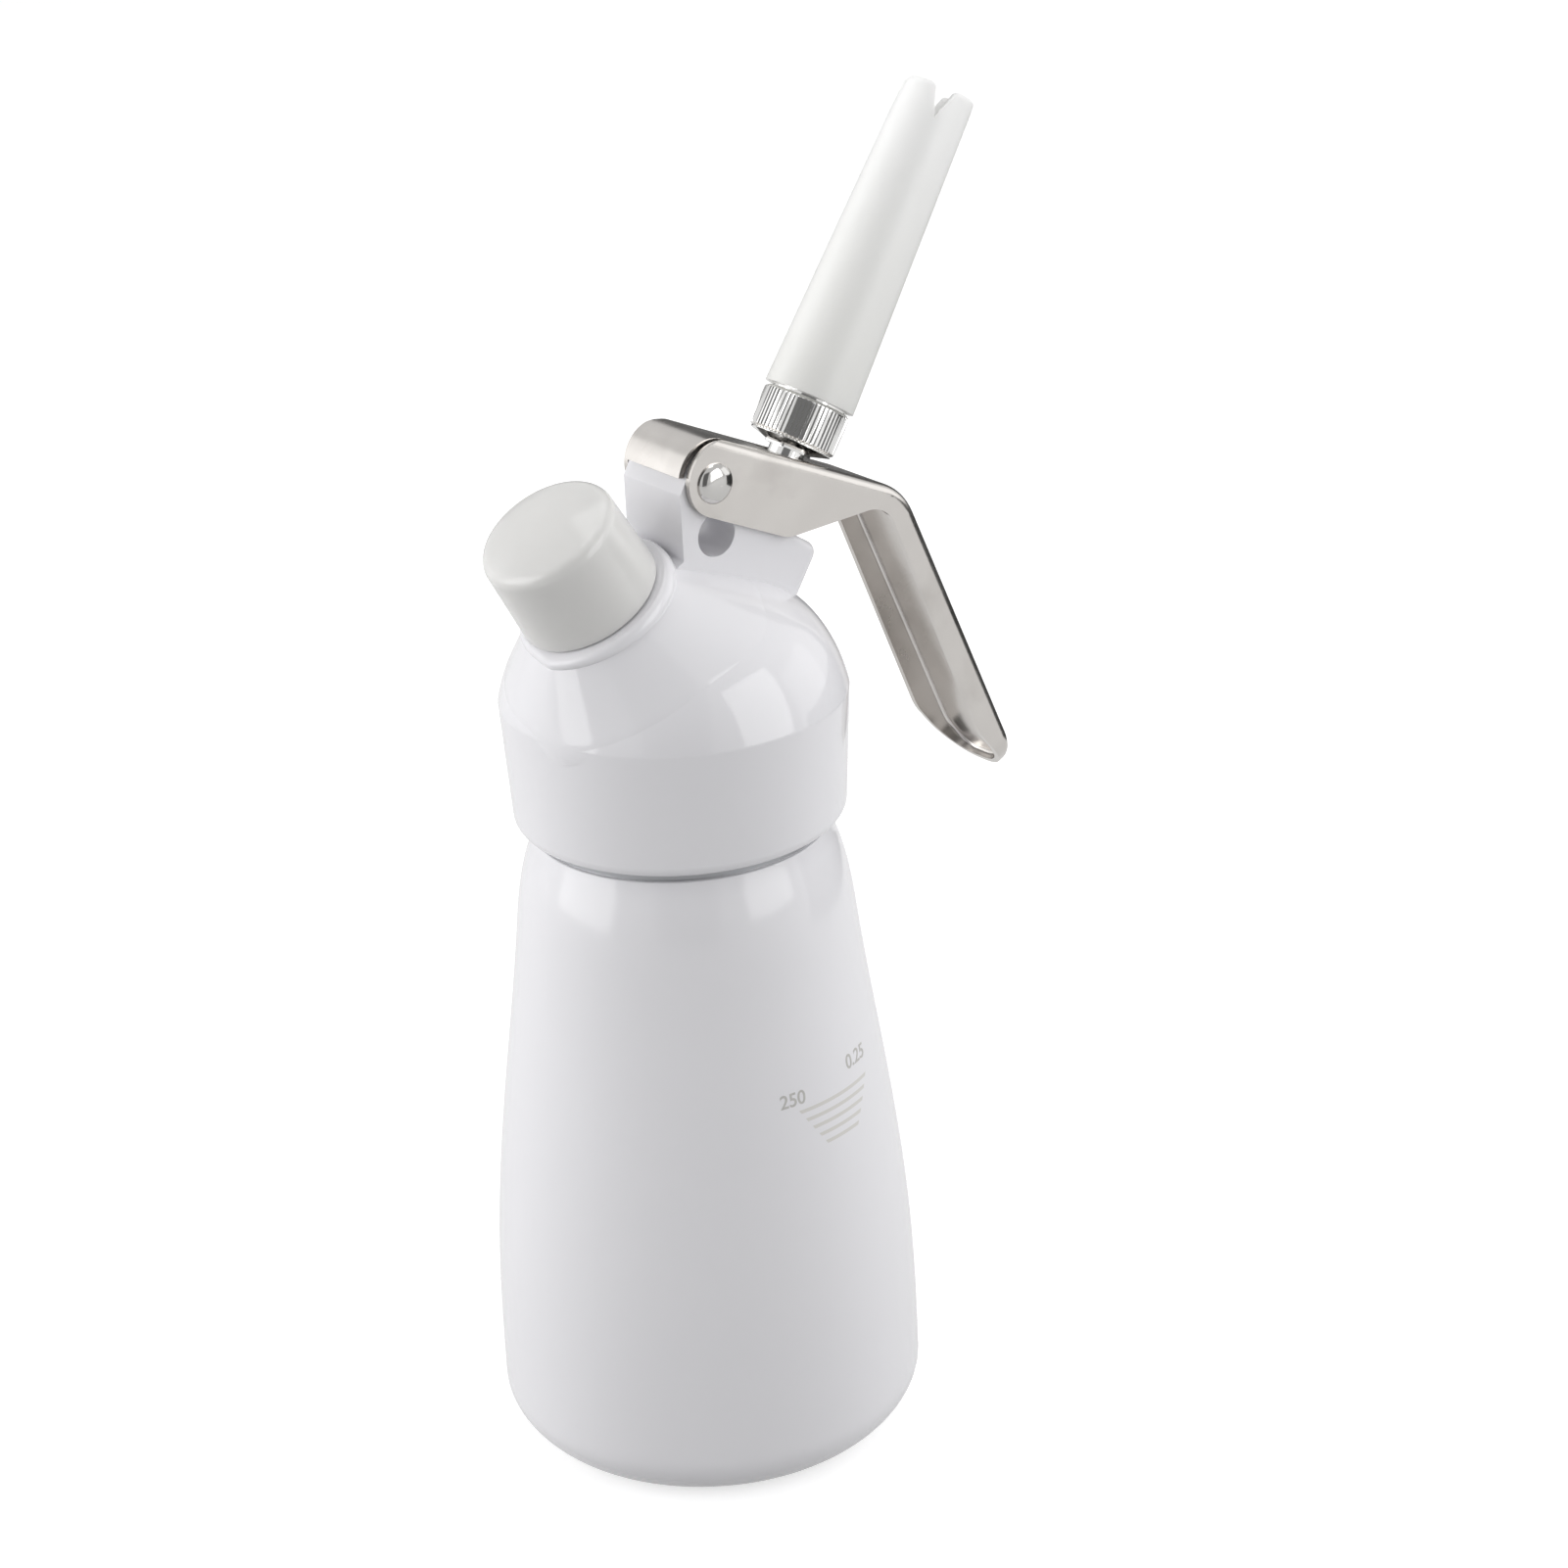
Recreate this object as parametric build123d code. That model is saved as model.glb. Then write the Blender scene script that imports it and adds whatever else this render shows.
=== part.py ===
from build123d import *
import math
import os

os.makedirs("parts", exist_ok=True)

# ---------------------------------------------------------------- driving dimensions, mm
# Bottle: radii of the outside at heights above the base, then the shoulder and neck
bottle_foot_radius = 36.0
bottle_foot_height = 9.0
bottle_foot_round = 9.2
bottle_belly_radius = 35.4
bottle_belly_height = 35.0
bottle_waist_radius = 32.2
bottle_waist_height = 65.0
bottle_chest_radius = 28.5
bottle_chest_height = 92.0
bottle_shoulder_height = 109.0
bottle_wall = 1.0
bottle_floor = 1.6
shoulder_step = 1.05
shoulder_lean = 0.42
neck_radius = 23.9
neck_wall = 2.6
neck_root_rise = 2.6
neck_length = 18.7
neck_edge_round = 0.5

# Head: skirt, dome and the fin that carries lever and valve
thread_clearance = 0.3
rim_gap = 0.96
rim_wall = 3.1
rim_round = 2.2
skirt_height = 21.44
skirt_flare = 1.24
dome_centre_drop = 6.4
dome_wall = 3.0
cavity_inset = 2.4
gasket_thickness = 1.7
gasket_width = 4.2
gasket_gap = 0.1

# Fin: its ledge stands on the dome's crown, and the rest is measured up from the ledge
fin_half_width = 7.35
fin_front = -2.0
fin_ledge_rise = 1.65122
fin_ledge_back = -9.0
fin_ledge_back_drop = 2.0
fin_corner_round = 1.8
tower_radius = 4.8
tower_front_angle = 30.0
tower_front_rise = 11.0
cast_hole_radius = 3.7
cast_hole_x = 4.8
cast_hole_rise = 2.8

# Hinge
pivot_x = 4.1
pivot_rise = 11.8
pin_radius = 2.0
pin_clearance = 0.05
pin_head_radius = 3.3
pin_head_rise = 1.5
pin_head_rim = 0.3
pin_tail_radius = 1.2
pin_tail_length = 1.0

# Valve axis: tilted towards the handle, at a distance in front of the pivot
valve_tilt = 33.55
valve_offset = 18.96
valve_boss_drop = 1.93
valve_boss_radius = 7.3
fin_reach = 8.6
valve_tube_length = 24.0
stem_radius = 3.5
stem_clearance = 0.05
stem_bore_radius = 1.7
stem_thread_radius = 2.5
stem_top = 14.0
cross_hole_radius = 1.0
cross_hole_depth = 12.6
spring_pocket_radius = 5.15
spring_pocket_depth = 7.0
o_ring_depth = 9.5
o_ring_section = 0.9
relief_radius = 4.6
relief_depth = 11.0
relief_taper = 1.0
valve_seat_lip = 0.6
valve_seat_depth = 14.0
chamber_radius = 5.2
valve_seal_radius = 4.7
valve_seal_thickness = 1.5
poppet_thickness = 2.0
poppet_chamfer = 0.8
cage_thickness = 2.0
cage_opening_radius = 3.2
cage_slot_width = 1.2
cage_slot_depth = 0.8
spring_wire_radius = 0.45
spring_coil_radius = 4.35
spring_turns = 7
spring_seat_thickness = 0.5
spring_seat_clearance = 0.1
push_washer_radius = 5.0
push_washer_thickness = 1.2
push_washer_flat_radius = 3.4
push_washer_bevel = 0.4
lever_to_washer_gap = 0.3

# Adapter, ferrule and nozzle, measured up the valve axis from the nozzle's foot
nozzle_foot = 21.5
nozzle_length = 54.0
nozzle_foot_radius = 7.72
nozzle_tip_radius = 6.05
nozzle_bore_radius = 3.7
nozzle_tip_bore_radius = 4.7
nozzle_notch_depth = 5.2
nozzle_notch_half_angle = 21.0
nozzle_notch_round = 1.0
nozzle_notch_count = 4
nozzle_notch_turn = 56.0
ferrule_radius = 7.4
ferrule_length = 7.75
ferrule_chamfer = 0.4
ferrule_groove_height = 0.45
ferrule_groove_radius = 6.3
knurl_count = 60
knurl_depth = 0.22
adapter_thread_radius = 4.7
adapter_thread_clearance = 0.1
adapter_thread_length = 5.4
adapter_cone_length = 1.0
adapter_cone_radius = 7.0
adapter_hex_across_flats = 7.2
adapter_above_lever = 0.8
adapter_collar_radius = 3.0
nozzle_seal_thickness = 0.8
nozzle_seal_hole_radius = 2.3
nozzle_spigot_radius = 5.9
nozzle_spigot_clearance = 0.02

# Charging port: its axis leans back through the centre of the dome
port_tilt = 30.1
port_seat_rise = 1.65122
port_boss_radius = 12.9
bead_radius = 1.05
port_seat_gap = 0.2
port_thread_radius = 9.5
port_bore_clearance = 0.05
port_flange_depth = 8.0
port_tube_depth = 11.0
port_shank_radius = 6.5
port_thread_height = 9.5
thread_chamfer = 0.6
charger_recess_radius = 5.2
charger_recess_depth = 6.0
gas_bore_radius = 1.3
gas_tail_radius = 3.6
gas_tail_depth = 17.5
gas_tail_floor = 1.5
gas_hole_radius = 0.6
charger_seal_thickness = 1.8
charger_seal_hole_radius = 1.7
pierce_pin_radius = 0.9
pierce_pin_tip_height = 6.5
pierce_pin_point = 2.2
pierce_pin_buried = 5.0
pierce_pin_collar = 3.0
sleeve_wall = 1.0
sleeve_setback = 0.5
sleeve_gap = 0.1
port_nut_radius = 8.2
port_nut_thickness = 2.4

cap_foot_radius = 11.94
cap_top_radius = 11.46
cap_length = 15.4
cap_edge_round = 1.9
cap_top_wall = 1.5
cap_thread_clearance = 0.3
cap_liner_thickness = 1.0
cap_liner_clearance = 0.1

# Lever: one sheet, bent
sheet = 1.0
lever_half_width = 8.5
plate_slope = 25.8
plate_rise = 7.0
plate_corner = 40.7
handle_slope = 66.9
handle_length = 61.4
handle_bend_radius = 12.0
handle_end_round = 7.6
handle_flange_depth = 4.6
handle_flange_low_depth = 5.5
handle_flange_tip_depth = 1.9
handle_tip_sweep = 12.0
sheet_bend_radius = 1.7
block_depth = 8.0
ear_nose_radius = 6.2
ear_nose_shift = 0.9
ear_sole_back = 18.6
ear_heel_rise = 1.0
ear_heel_round = 6.0
ear_crook_round = 6.0
lip_half_width = 6.9
lip_radius = 6.3
lip_curl = 104.0
stem_slot_width = 7.2
stem_slot_length = 9.2
stem_slot_reach = 19.0

# ---------------------------------------------------------------- heights and frames worked out from them
bottle_shoulder_radius = neck_radius + shoulder_step
neck_root_height = bottle_shoulder_height + neck_root_rise
neck_top_height = neck_root_height + neck_length
skirt_bore = neck_radius + thread_clearance
rim_height = neck_root_height + rim_gap
rim_radius = skirt_bore + rim_wall
crease_height = rim_height + skirt_height
crease_radius = rim_radius + skirt_flare
dome_centre_height = crease_height - dome_centre_drop
dome_radius = math.hypot(crease_radius, dome_centre_drop)
cavity_radius = neck_radius - cavity_inset
gasket_top = neck_top_height + gasket_gap + gasket_thickness
fin_ledge_height = dome_centre_height + dome_radius + fin_ledge_rise
port_reach = dome_radius + port_seat_rise
cast_hole_z = fin_ledge_height + cast_hole_rise
pivot_z = fin_ledge_height + pivot_rise

valve_sin = math.sin(math.radians(valve_tilt))
valve_cos = math.cos(math.radians(valve_tilt))
valve_x = pivot_x + valve_offset * valve_cos - valve_boss_drop * valve_sin
valve_z = pivot_z - valve_offset * valve_sin - valve_boss_drop * valve_cos
valve_frame = Plane(origin=(valve_x, 0, valve_z), x_dir=(valve_cos, 0, -valve_sin),
                    z_dir=(valve_sin, 0, valve_cos)).location

port_sin = math.sin(math.radians(port_tilt))
port_cos = math.cos(math.radians(port_tilt))
port_frame = Plane(origin=(-port_reach * port_sin, 0, dome_centre_height + port_reach * port_cos),
                   x_dir=(port_cos, 0, port_sin), z_dir=(-port_sin, 0, port_cos)).location

plate_sin = math.sin(math.radians(plate_slope))
plate_cos = math.cos(math.radians(plate_slope))
lever_frame = Plane(origin=(pivot_x, 0, pivot_z), x_dir=(plate_cos, 0, -plate_sin),
                    z_dir=(plate_sin, 0, plate_cos)).location

lean = math.radians(valve_tilt - plate_slope)
plate_at_valve = (plate_rise + valve_offset * math.sin(lean)) / math.cos(lean) + valve_boss_drop
under_plate = plate_at_valve - sheet / math.cos(lean)
washer_top = under_plate - lever_to_washer_gap
washer_foot = washer_top - push_washer_thickness
adapter_foot = plate_at_valve + adapter_above_lever
ferrule_foot = nozzle_foot - ferrule_length
adapter_cone_foot = ferrule_foot - adapter_cone_length
adapter_thread_top = ferrule_foot + adapter_thread_length
ear_nose_lift = plate_rise - ear_nose_radius

cut = 1.0  # how far a cutting shape runs past the face it opens


# ---------------------------------------------------------------- small helpers
def turned(points):
    """Solid of revolution about Z from a closed outline of (radius, height) points."""
    return revolve(Plane.XZ * Polygon(*points, align=None), Axis.Z)


def rod(radius, low, high):
    """Cylinder about Z between two heights."""
    return Pos(0, 0, low) * Cylinder(radius, high - low, align=(Align.CENTER, Align.CENTER, Align.MIN))


def ring(outer, inner, low, high):
    """Plain ring about Z between two heights."""
    return rod(outer, low, high) - rod(inner, low - cut, high + cut)


def side_plate(points, half_width):
    """Slab whose side view is a closed outline of (x, z) points, centred on y = 0."""
    return extrude(Plane.XZ * Polygon(*points, align=None), half_width, both=True)


def across(radius, half_length, x, z):
    """Cylinder along Y, centred on y = 0, through a point of the side view."""
    return Pos(x, 0, z) * Rot(90, 0, 0) * Cylinder(radius, 2 * half_length)


def save(shape, name):
    shape.label = name
    export_step(shape, f"parts/{name}.step")


# ---------------------------------------------------------------- bottle
def bottle_side(inset):
    """Outline of the bottle from its foot to its shoulder, moved inwards by a wall."""
    return Spline((bottle_foot_radius - inset, 0, bottle_foot_height),
                  (bottle_belly_radius - inset, 0, bottle_belly_height),
                  (bottle_waist_radius - inset, 0, bottle_waist_height),
                  (bottle_chest_radius - inset, 0, bottle_chest_height),
                  (bottle_shoulder_radius - inset, 0, bottle_shoulder_height),
                  tangents=[(0, 0, 1), (-shoulder_lean, 0, 1)])


def bottle_body():
    foot_flat = bottle_foot_radius - bottle_foot_round
    outside = make_face([
        Line((0, 0, 0), (foot_flat, 0, 0)),
        Spline((foot_flat, 0, 0), (bottle_foot_radius, 0, bottle_foot_height),
               tangents=[(1, 0, 0), (0, 0, 1)]),
        bottle_side(0),
        Spline((bottle_shoulder_radius, 0, bottle_shoulder_height), (neck_radius, 0, neck_root_height),
               tangents=[(-shoulder_lean, 0, 1), (0, 0, 1)]),
        Line((neck_radius, 0, neck_root_height), (neck_radius, 0, neck_top_height)),
        Line((neck_radius, 0, neck_top_height), (0, 0, neck_top_height)),
        Line((0, 0, neck_top_height), (0, 0, 0))])
    neck_bore = neck_radius - neck_wall
    inside = make_face([
        Line((0, 0, bottle_floor), (foot_flat - bottle_wall, 0, bottle_floor)),
        Spline((foot_flat - bottle_wall, 0, bottle_floor),
               (bottle_foot_radius - bottle_wall, 0, bottle_foot_height),
               tangents=[(1, 0, 0), (0, 0, 1)]),
        bottle_side(bottle_wall),
        Line((bottle_shoulder_radius - bottle_wall, 0, bottle_shoulder_height),
             (neck_bore, 0, neck_root_height)),
        Line((neck_bore, 0, neck_root_height), (neck_bore, 0, neck_top_height + cut)),
        Line((neck_bore, 0, neck_top_height + cut), (0, 0, neck_top_height + cut)),
        Line((0, 0, neck_top_height + cut), (0, 0, bottle_floor))])
    body = revolve(outside, Axis.Z) - revolve(inside, Axis.Z)
    mouth = body.edges().filter_by(GeomType.CIRCLE).group_by(Axis.Z)[-1]
    return fillet(mouth, neck_edge_round)


def head_gasket():
    low = neck_top_height + gasket_gap
    return ring(neck_radius - gasket_gap, neck_radius - gasket_width, low, low + gasket_thickness)


# ---------------------------------------------------------------- head
def dome_form():
    """Skirt and dome, solid, with the flank that rises to the charging port."""
    crown = dome_centre_height + dome_radius
    middle = math.asin(dome_centre_drop / dome_radius) / 2 + math.radians(45)
    outline = make_face([
        Line((0, 0, rim_height), (rim_radius, 0, rim_height)),
        Line((rim_radius, 0, rim_height), (crease_radius, 0, crease_height)),
        ThreePointArc((crease_radius, 0, crease_height),
                      (dome_radius * math.cos(middle), 0,
                       dome_centre_height + dome_radius * math.sin(middle)),
                      (0, 0, crown)),
        Line((0, 0, crown), (0, 0, rim_height))])
    form = revolve(outline, Axis.Z)
    form = fillet(form.edges().filter_by(GeomType.CIRCLE).group_by(Axis.Z)[0], rim_round)
    # the flank is the cone that touches the dome and ends at the bead
    bead_low = -port_seat_gap - 2 * bead_radius
    polar = math.atan2(port_boss_radius, port_reach + bead_low)
    distance = math.hypot(port_boss_radius, port_reach + bead_low)
    touch = polar + math.acos(dome_radius / distance)
    flank = turned([(0, -port_reach), (0, -port_seat_gap), (port_boss_radius - bead_radius, -port_seat_gap),
                    (port_boss_radius - bead_radius, bead_low), (port_boss_radius, bead_low),
                    (dome_radius * math.sin(touch), dome_radius * math.cos(touch) - port_reach)])
    bead = Pos(0, 0, -port_seat_gap - bead_radius) * Torus(port_boss_radius - bead_radius, bead_radius)
    upper = rod(crease_radius, crease_height, crown + port_reach)
    return form + ((port_frame * flank) & upper) + port_frame * bead


def fin_form():
    """Fin along the top: ledge behind the port, hinge tower, then the valve boss."""
    boss_far = (valve_x + fin_reach * valve_cos, valve_z - fin_reach * valve_sin)
    boss_near = (valve_x - valve_boss_radius * valve_cos, valve_z + valve_boss_radius * valve_sin)
    boss_foot = (boss_far[0] - valve_tube_length * valve_sin, boss_far[1] - valve_tube_length * valve_cos)
    front_angle = math.radians(tower_front_angle)
    slab = side_plate([
        (fin_ledge_back, dome_centre_height), (fin_ledge_back, fin_ledge_height - fin_ledge_back_drop),
        (fin_front, fin_ledge_height), (fin_front, fin_ledge_height + tower_front_rise),
        (pivot_x - tower_radius * math.cos(front_angle), pivot_z + tower_radius * math.sin(front_angle)),
        (pivot_x, pivot_z),
        (pivot_x + tower_radius * valve_cos, pivot_z - tower_radius * valve_sin),
        boss_near, boss_far, boss_foot], fin_half_width)
    far_end = slab.edges().filter_by(Axis((0, 0, 0), (valve_sin, 0, valve_cos))).group_by(Axis.X)[-1]
    slab = fillet(far_end, fin_corner_round)
    return slab + across(tower_radius, fin_half_width, pivot_x, pivot_z)


def head_shell():
    form = dome_form() + fin_form()
    cavity = Pos(0, 0, dome_centre_height) * Sphere(dome_radius - dome_wall)
    cavity = cavity & rod(cavity_radius, gasket_top, dome_centre_height + dome_radius)
    shell = form - cavity - rod(skirt_bore, rim_height - cut, gasket_top)
    shell = shell + valve_frame * rod(valve_boss_radius, -valve_tube_length, -spring_pocket_depth)
    shell = shell + port_frame * rod(port_boss_radius - bead_radius, -port_tube_depth, -port_flange_depth)
    # valve bores, from the spring pocket down to the poppet chamber
    guide = stem_radius + stem_clearance
    lip_radius_inside = stem_radius + valve_seat_lip
    lip_top = -valve_seat_depth + valve_seat_lip
    valve_bore = turned([(0, cut), (spring_pocket_radius, cut), (spring_pocket_radius, -spring_pocket_depth),
                         (guide, -spring_pocket_depth), (guide, -relief_depth),
                         (relief_radius, -relief_depth - relief_taper), (relief_radius, lip_top),
                         (lip_radius_inside, lip_top), (lip_radius_inside, -valve_seat_depth),
                         (chamber_radius, -valve_seat_depth), (chamber_radius, -valve_tube_length - cut),
                         (0, -valve_tube_length - cut)])
    groove = Pos(0, 0, -o_ring_depth) * Torus(stem_radius + stem_clearance + o_ring_section,
                                              o_ring_section + stem_clearance)
    # port bore with its shoulder
    flange = port_thread_radius + port_bore_clearance
    shank = port_shank_radius + port_bore_clearance
    port_bore = rod(flange, -port_flange_depth, cut) + rod(shank, -port_tube_depth - dome_wall, 0)
    shell = shell - valve_frame * valve_bore - valve_frame * groove - port_frame * port_bore
    shell = shell - across(pin_radius + pin_clearance, fin_half_width + cut, pivot_x, pivot_z)
    return shell - across(cast_hole_radius, fin_half_width + cut, cast_hole_x, cast_hole_z)


# ---------------------------------------------------------------- charging port and cap
def charging_valve_body():
    recess_floor = port_thread_height - charger_recess_depth
    body = turned([(0, -gas_tail_depth), (gas_tail_radius, -gas_tail_depth),
                   (gas_tail_radius, -port_tube_depth - port_nut_thickness),
                   (port_shank_radius, -port_tube_depth - port_nut_thickness),
                   (port_shank_radius, -port_flange_depth), (port_thread_radius, -port_flange_depth),
                   (port_thread_radius, port_thread_height - thread_chamfer),
                   (port_thread_radius - thread_chamfer, port_thread_height), (0, port_thread_height)])
    body = body - rod(charger_recess_radius, recess_floor, port_thread_height + cut)
    body = body - rod(gas_bore_radius, -gas_tail_depth + gas_tail_floor, port_thread_height)
    vent = -(gas_tail_depth + port_tube_depth + port_nut_thickness) / 2
    return body - Pos(0, 0, vent) * Rot(90, 0, 0) * Cylinder(gas_hole_radius, 2 * (gas_tail_radius + cut))


def charger_seal():
    floor = port_thread_height - charger_recess_depth
    return ring(charger_recess_radius - port_bore_clearance, charger_seal_hole_radius,
                floor, floor + charger_seal_thickness)


def piercing_pin():
    foot = port_thread_height - charger_recess_depth - pierce_pin_buried
    pin = turned([(0, foot), (gas_bore_radius, foot), (gas_bore_radius, foot + pierce_pin_collar),
                  (pierce_pin_radius, foot + pierce_pin_collar),
                  (pierce_pin_radius, pierce_pin_tip_height - pierce_pin_point), (0, pierce_pin_tip_height)])
    gas_groove = Pos(gas_bore_radius, 0, foot) * Cylinder(gas_hole_radius, 2 * (pierce_pin_collar + cut))
    return pin - gas_groove


def check_sleeve():
    top = -port_tube_depth - port_nut_thickness - sleeve_gap
    return ring(gas_tail_radius + sleeve_wall, gas_tail_radius, -gas_tail_depth + sleeve_setback, top)


def port_nut():
    low = -port_tube_depth - port_nut_thickness
    blank = extrude(RegularPolygon(port_nut_radius, 6), port_nut_thickness)
    return Pos(0, 0, low) * blank - rod(port_shank_radius, low - cut, low + port_nut_thickness + cut)


def port_cap():
    inner = port_thread_radius + cap_thread_clearance
    outside = turned([(0, 0), (cap_foot_radius, 0), (cap_top_radius, cap_length), (0, cap_length)])
    outside = fillet(outside.edges().filter_by(GeomType.CIRCLE).group_by(Axis.Z)[-1], cap_edge_round)
    return outside - rod(inner, -cut, cap_length - cap_top_wall)


def cap_liner():
    top = cap_length - cap_top_wall
    return rod(port_thread_radius + cap_thread_clearance - cap_liner_clearance, top - cap_liner_thickness, top)


# ---------------------------------------------------------------- dispensing valve
def valve_stem():
    seal_low = -valve_seat_depth - valve_seal_thickness
    poppet_foot = seal_low - poppet_thickness
    stem = turned([(0, poppet_foot), (valve_seal_radius - poppet_chamfer, poppet_foot),
                   (valve_seal_radius, poppet_foot + poppet_chamfer), (valve_seal_radius, seal_low),
                   (stem_radius, seal_low), (stem_radius, washer_foot),
                   (stem_thread_radius, washer_foot), (stem_thread_radius, stem_top), (0, stem_top)])
    stem = stem - rod(stem_bore_radius, -cross_hole_depth - cross_hole_radius, stem_top + cut)
    cross_hole = Rot(90, 0, 0) * Cylinder(cross_hole_radius, 2 * (stem_radius + cut))
    for turn in (0, 90):
        stem = stem - Pos(0, 0, -cross_hole_depth) * Rot(0, 0, turn) * cross_hole
    return stem


def valve_seal():
    return ring(valve_seal_radius, stem_radius, -valve_seat_depth - valve_seal_thickness, -valve_seat_depth)


def stem_o_ring():
    middle = stem_radius + stem_clearance + o_ring_section
    return Pos(0, 0, -o_ring_depth) * Torus(middle, o_ring_section)


def valve_cage():
    top = -valve_tube_length + cage_thickness
    cage = ring(chamber_radius, cage_opening_radius, -valve_tube_length, top)
    slot = Box(2 * (chamber_radius + cut), cage_slot_width, 2 * cage_slot_depth)
    return cage - Pos(0, 0, -valve_tube_length) * slot


def spring_seat():
    low = -spring_pocket_depth
    return ring(spring_pocket_radius - spring_seat_clearance, stem_radius + spring_seat_clearance,
                low, low + spring_seat_thickness)


def valve_spring():
    low = -spring_pocket_depth + spring_seat_thickness + spring_wire_radius
    high = washer_foot - spring_wire_radius
    path = Pos(0, 0, low) * Helix((high - low) / spring_turns, high - low, spring_coil_radius)
    section = Plane(origin=path @ 0, z_dir=path % 0) * Circle(spring_wire_radius)
    return sweep(section, path=path, is_frenet=True)


def push_washer():
    return turned([(stem_thread_radius, washer_foot), (push_washer_radius, washer_foot),
                   (push_washer_radius, washer_top - push_washer_bevel),
                   (push_washer_flat_radius, washer_top), (stem_thread_radius, washer_top)])


def stem_adapter():
    hexagon = extrude(RegularPolygon(adapter_hex_across_flats / 2, 6, major_radius=False),
                      ferrule_foot - adapter_foot)
    cone = turned([(0, adapter_cone_foot), (adapter_hex_across_flats / 2, adapter_cone_foot),
                   (adapter_cone_radius, ferrule_foot), (0, ferrule_foot)])
    body = rod(adapter_collar_radius, washer_top, adapter_foot) + Pos(0, 0, adapter_foot) * hexagon
    body = body + cone + rod(adapter_thread_radius, ferrule_foot, adapter_thread_top)
    body = body - rod(stem_thread_radius, washer_top - cut, stem_top)
    return body - rod(stem_bore_radius, stem_top - cut, adapter_thread_top + cut)


def nozzle_seal():
    return ring(adapter_thread_radius, nozzle_seal_hole_radius,
                adapter_thread_top, adapter_thread_top + nozzle_seal_thickness)


# ---------------------------------------------------------------- nozzle
def nozzle_ferrule():
    knurl_top = nozzle_foot - ferrule_groove_height
    star = []
    for step in range(2 * knurl_count):
        angle = math.pi * step / knurl_count
        reach = ferrule_radius - knurl_depth * (step % 2)
        star.append((reach * math.cos(angle), reach * math.sin(angle)))
    knurled = Pos(0, 0, ferrule_foot) * extrude(Polygon(*star, align=None), knurl_top - ferrule_foot)
    flat = ferrule_radius - ferrule_chamfer
    ends = turned([(0, ferrule_foot), (flat, ferrule_foot), (ferrule_radius, ferrule_foot + ferrule_chamfer),
                   (ferrule_radius, knurl_top - ferrule_chamfer), (flat, knurl_top), (0, knurl_top)])
    body = (knurled & ends) + rod(ferrule_groove_radius, ferrule_foot, nozzle_foot)
    seal_top = adapter_thread_top + nozzle_seal_thickness
    body = body - rod(adapter_thread_radius + adapter_thread_clearance, ferrule_foot - cut, seal_top)
    return body - rod(nozzle_spigot_radius, seal_top, nozzle_foot + cut)


def decorator_nozzle():
    seal_top = adapter_thread_top + nozzle_seal_thickness
    spigot = nozzle_spigot_radius - nozzle_spigot_clearance
    tip = nozzle_foot + nozzle_length
    body = turned([(nozzle_bore_radius, seal_top), (spigot, seal_top), (spigot, nozzle_foot),
                   (nozzle_foot_radius, nozzle_foot), (nozzle_tip_radius, tip), (nozzle_tip_bore_radius, tip),
                   (nozzle_bore_radius, nozzle_foot + nozzle_length / 4)])
    # each slot is a wedge whose mouth rounds off the lobes on both sides of it
    flare = nozzle_notch_depth * math.tan(math.radians(nozzle_notch_half_angle))
    wide = 2 * nozzle_tip_radius
    notch = Polygon((0, tip - nozzle_notch_depth), (flare, tip), (wide, tip), (wide, tip + cut),
                    (-wide, tip + cut), (-wide, tip), (-flare, tip), align=None)
    mouth = [point for point in notch.vertices() if abs(abs(point.X) - flare) < flare / 2]
    slot = extrude(Plane.XZ * fillet(mouth, nozzle_notch_round), nozzle_foot_radius + cut, both=True)
    for step in range(nozzle_notch_count // 2):
        turn = nozzle_notch_turn + step * 360 / nozzle_notch_count
        body = body - Rot(0, 0, turn) * slot
    return body


# ---------------------------------------------------------------- lever and hinge pin
# The lever's own frame has the pivot as its origin and X along the top plate.
def skin_rim(block, start):
    """Edges round the lever's outer skin, apart from the one at its open start."""
    skin = [face for face in block.faces() if face.normal_at(face.center()).Z > 0.5]
    rims = [edge for face in skin for edge in face.edges()]
    outer = [edge for edge in rims
             if sum((edge.center() - other.center()).length < 0.001 for other in rims) == 1]
    return [edge for edge in outer if edge.center().X > start + 0.1]


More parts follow.
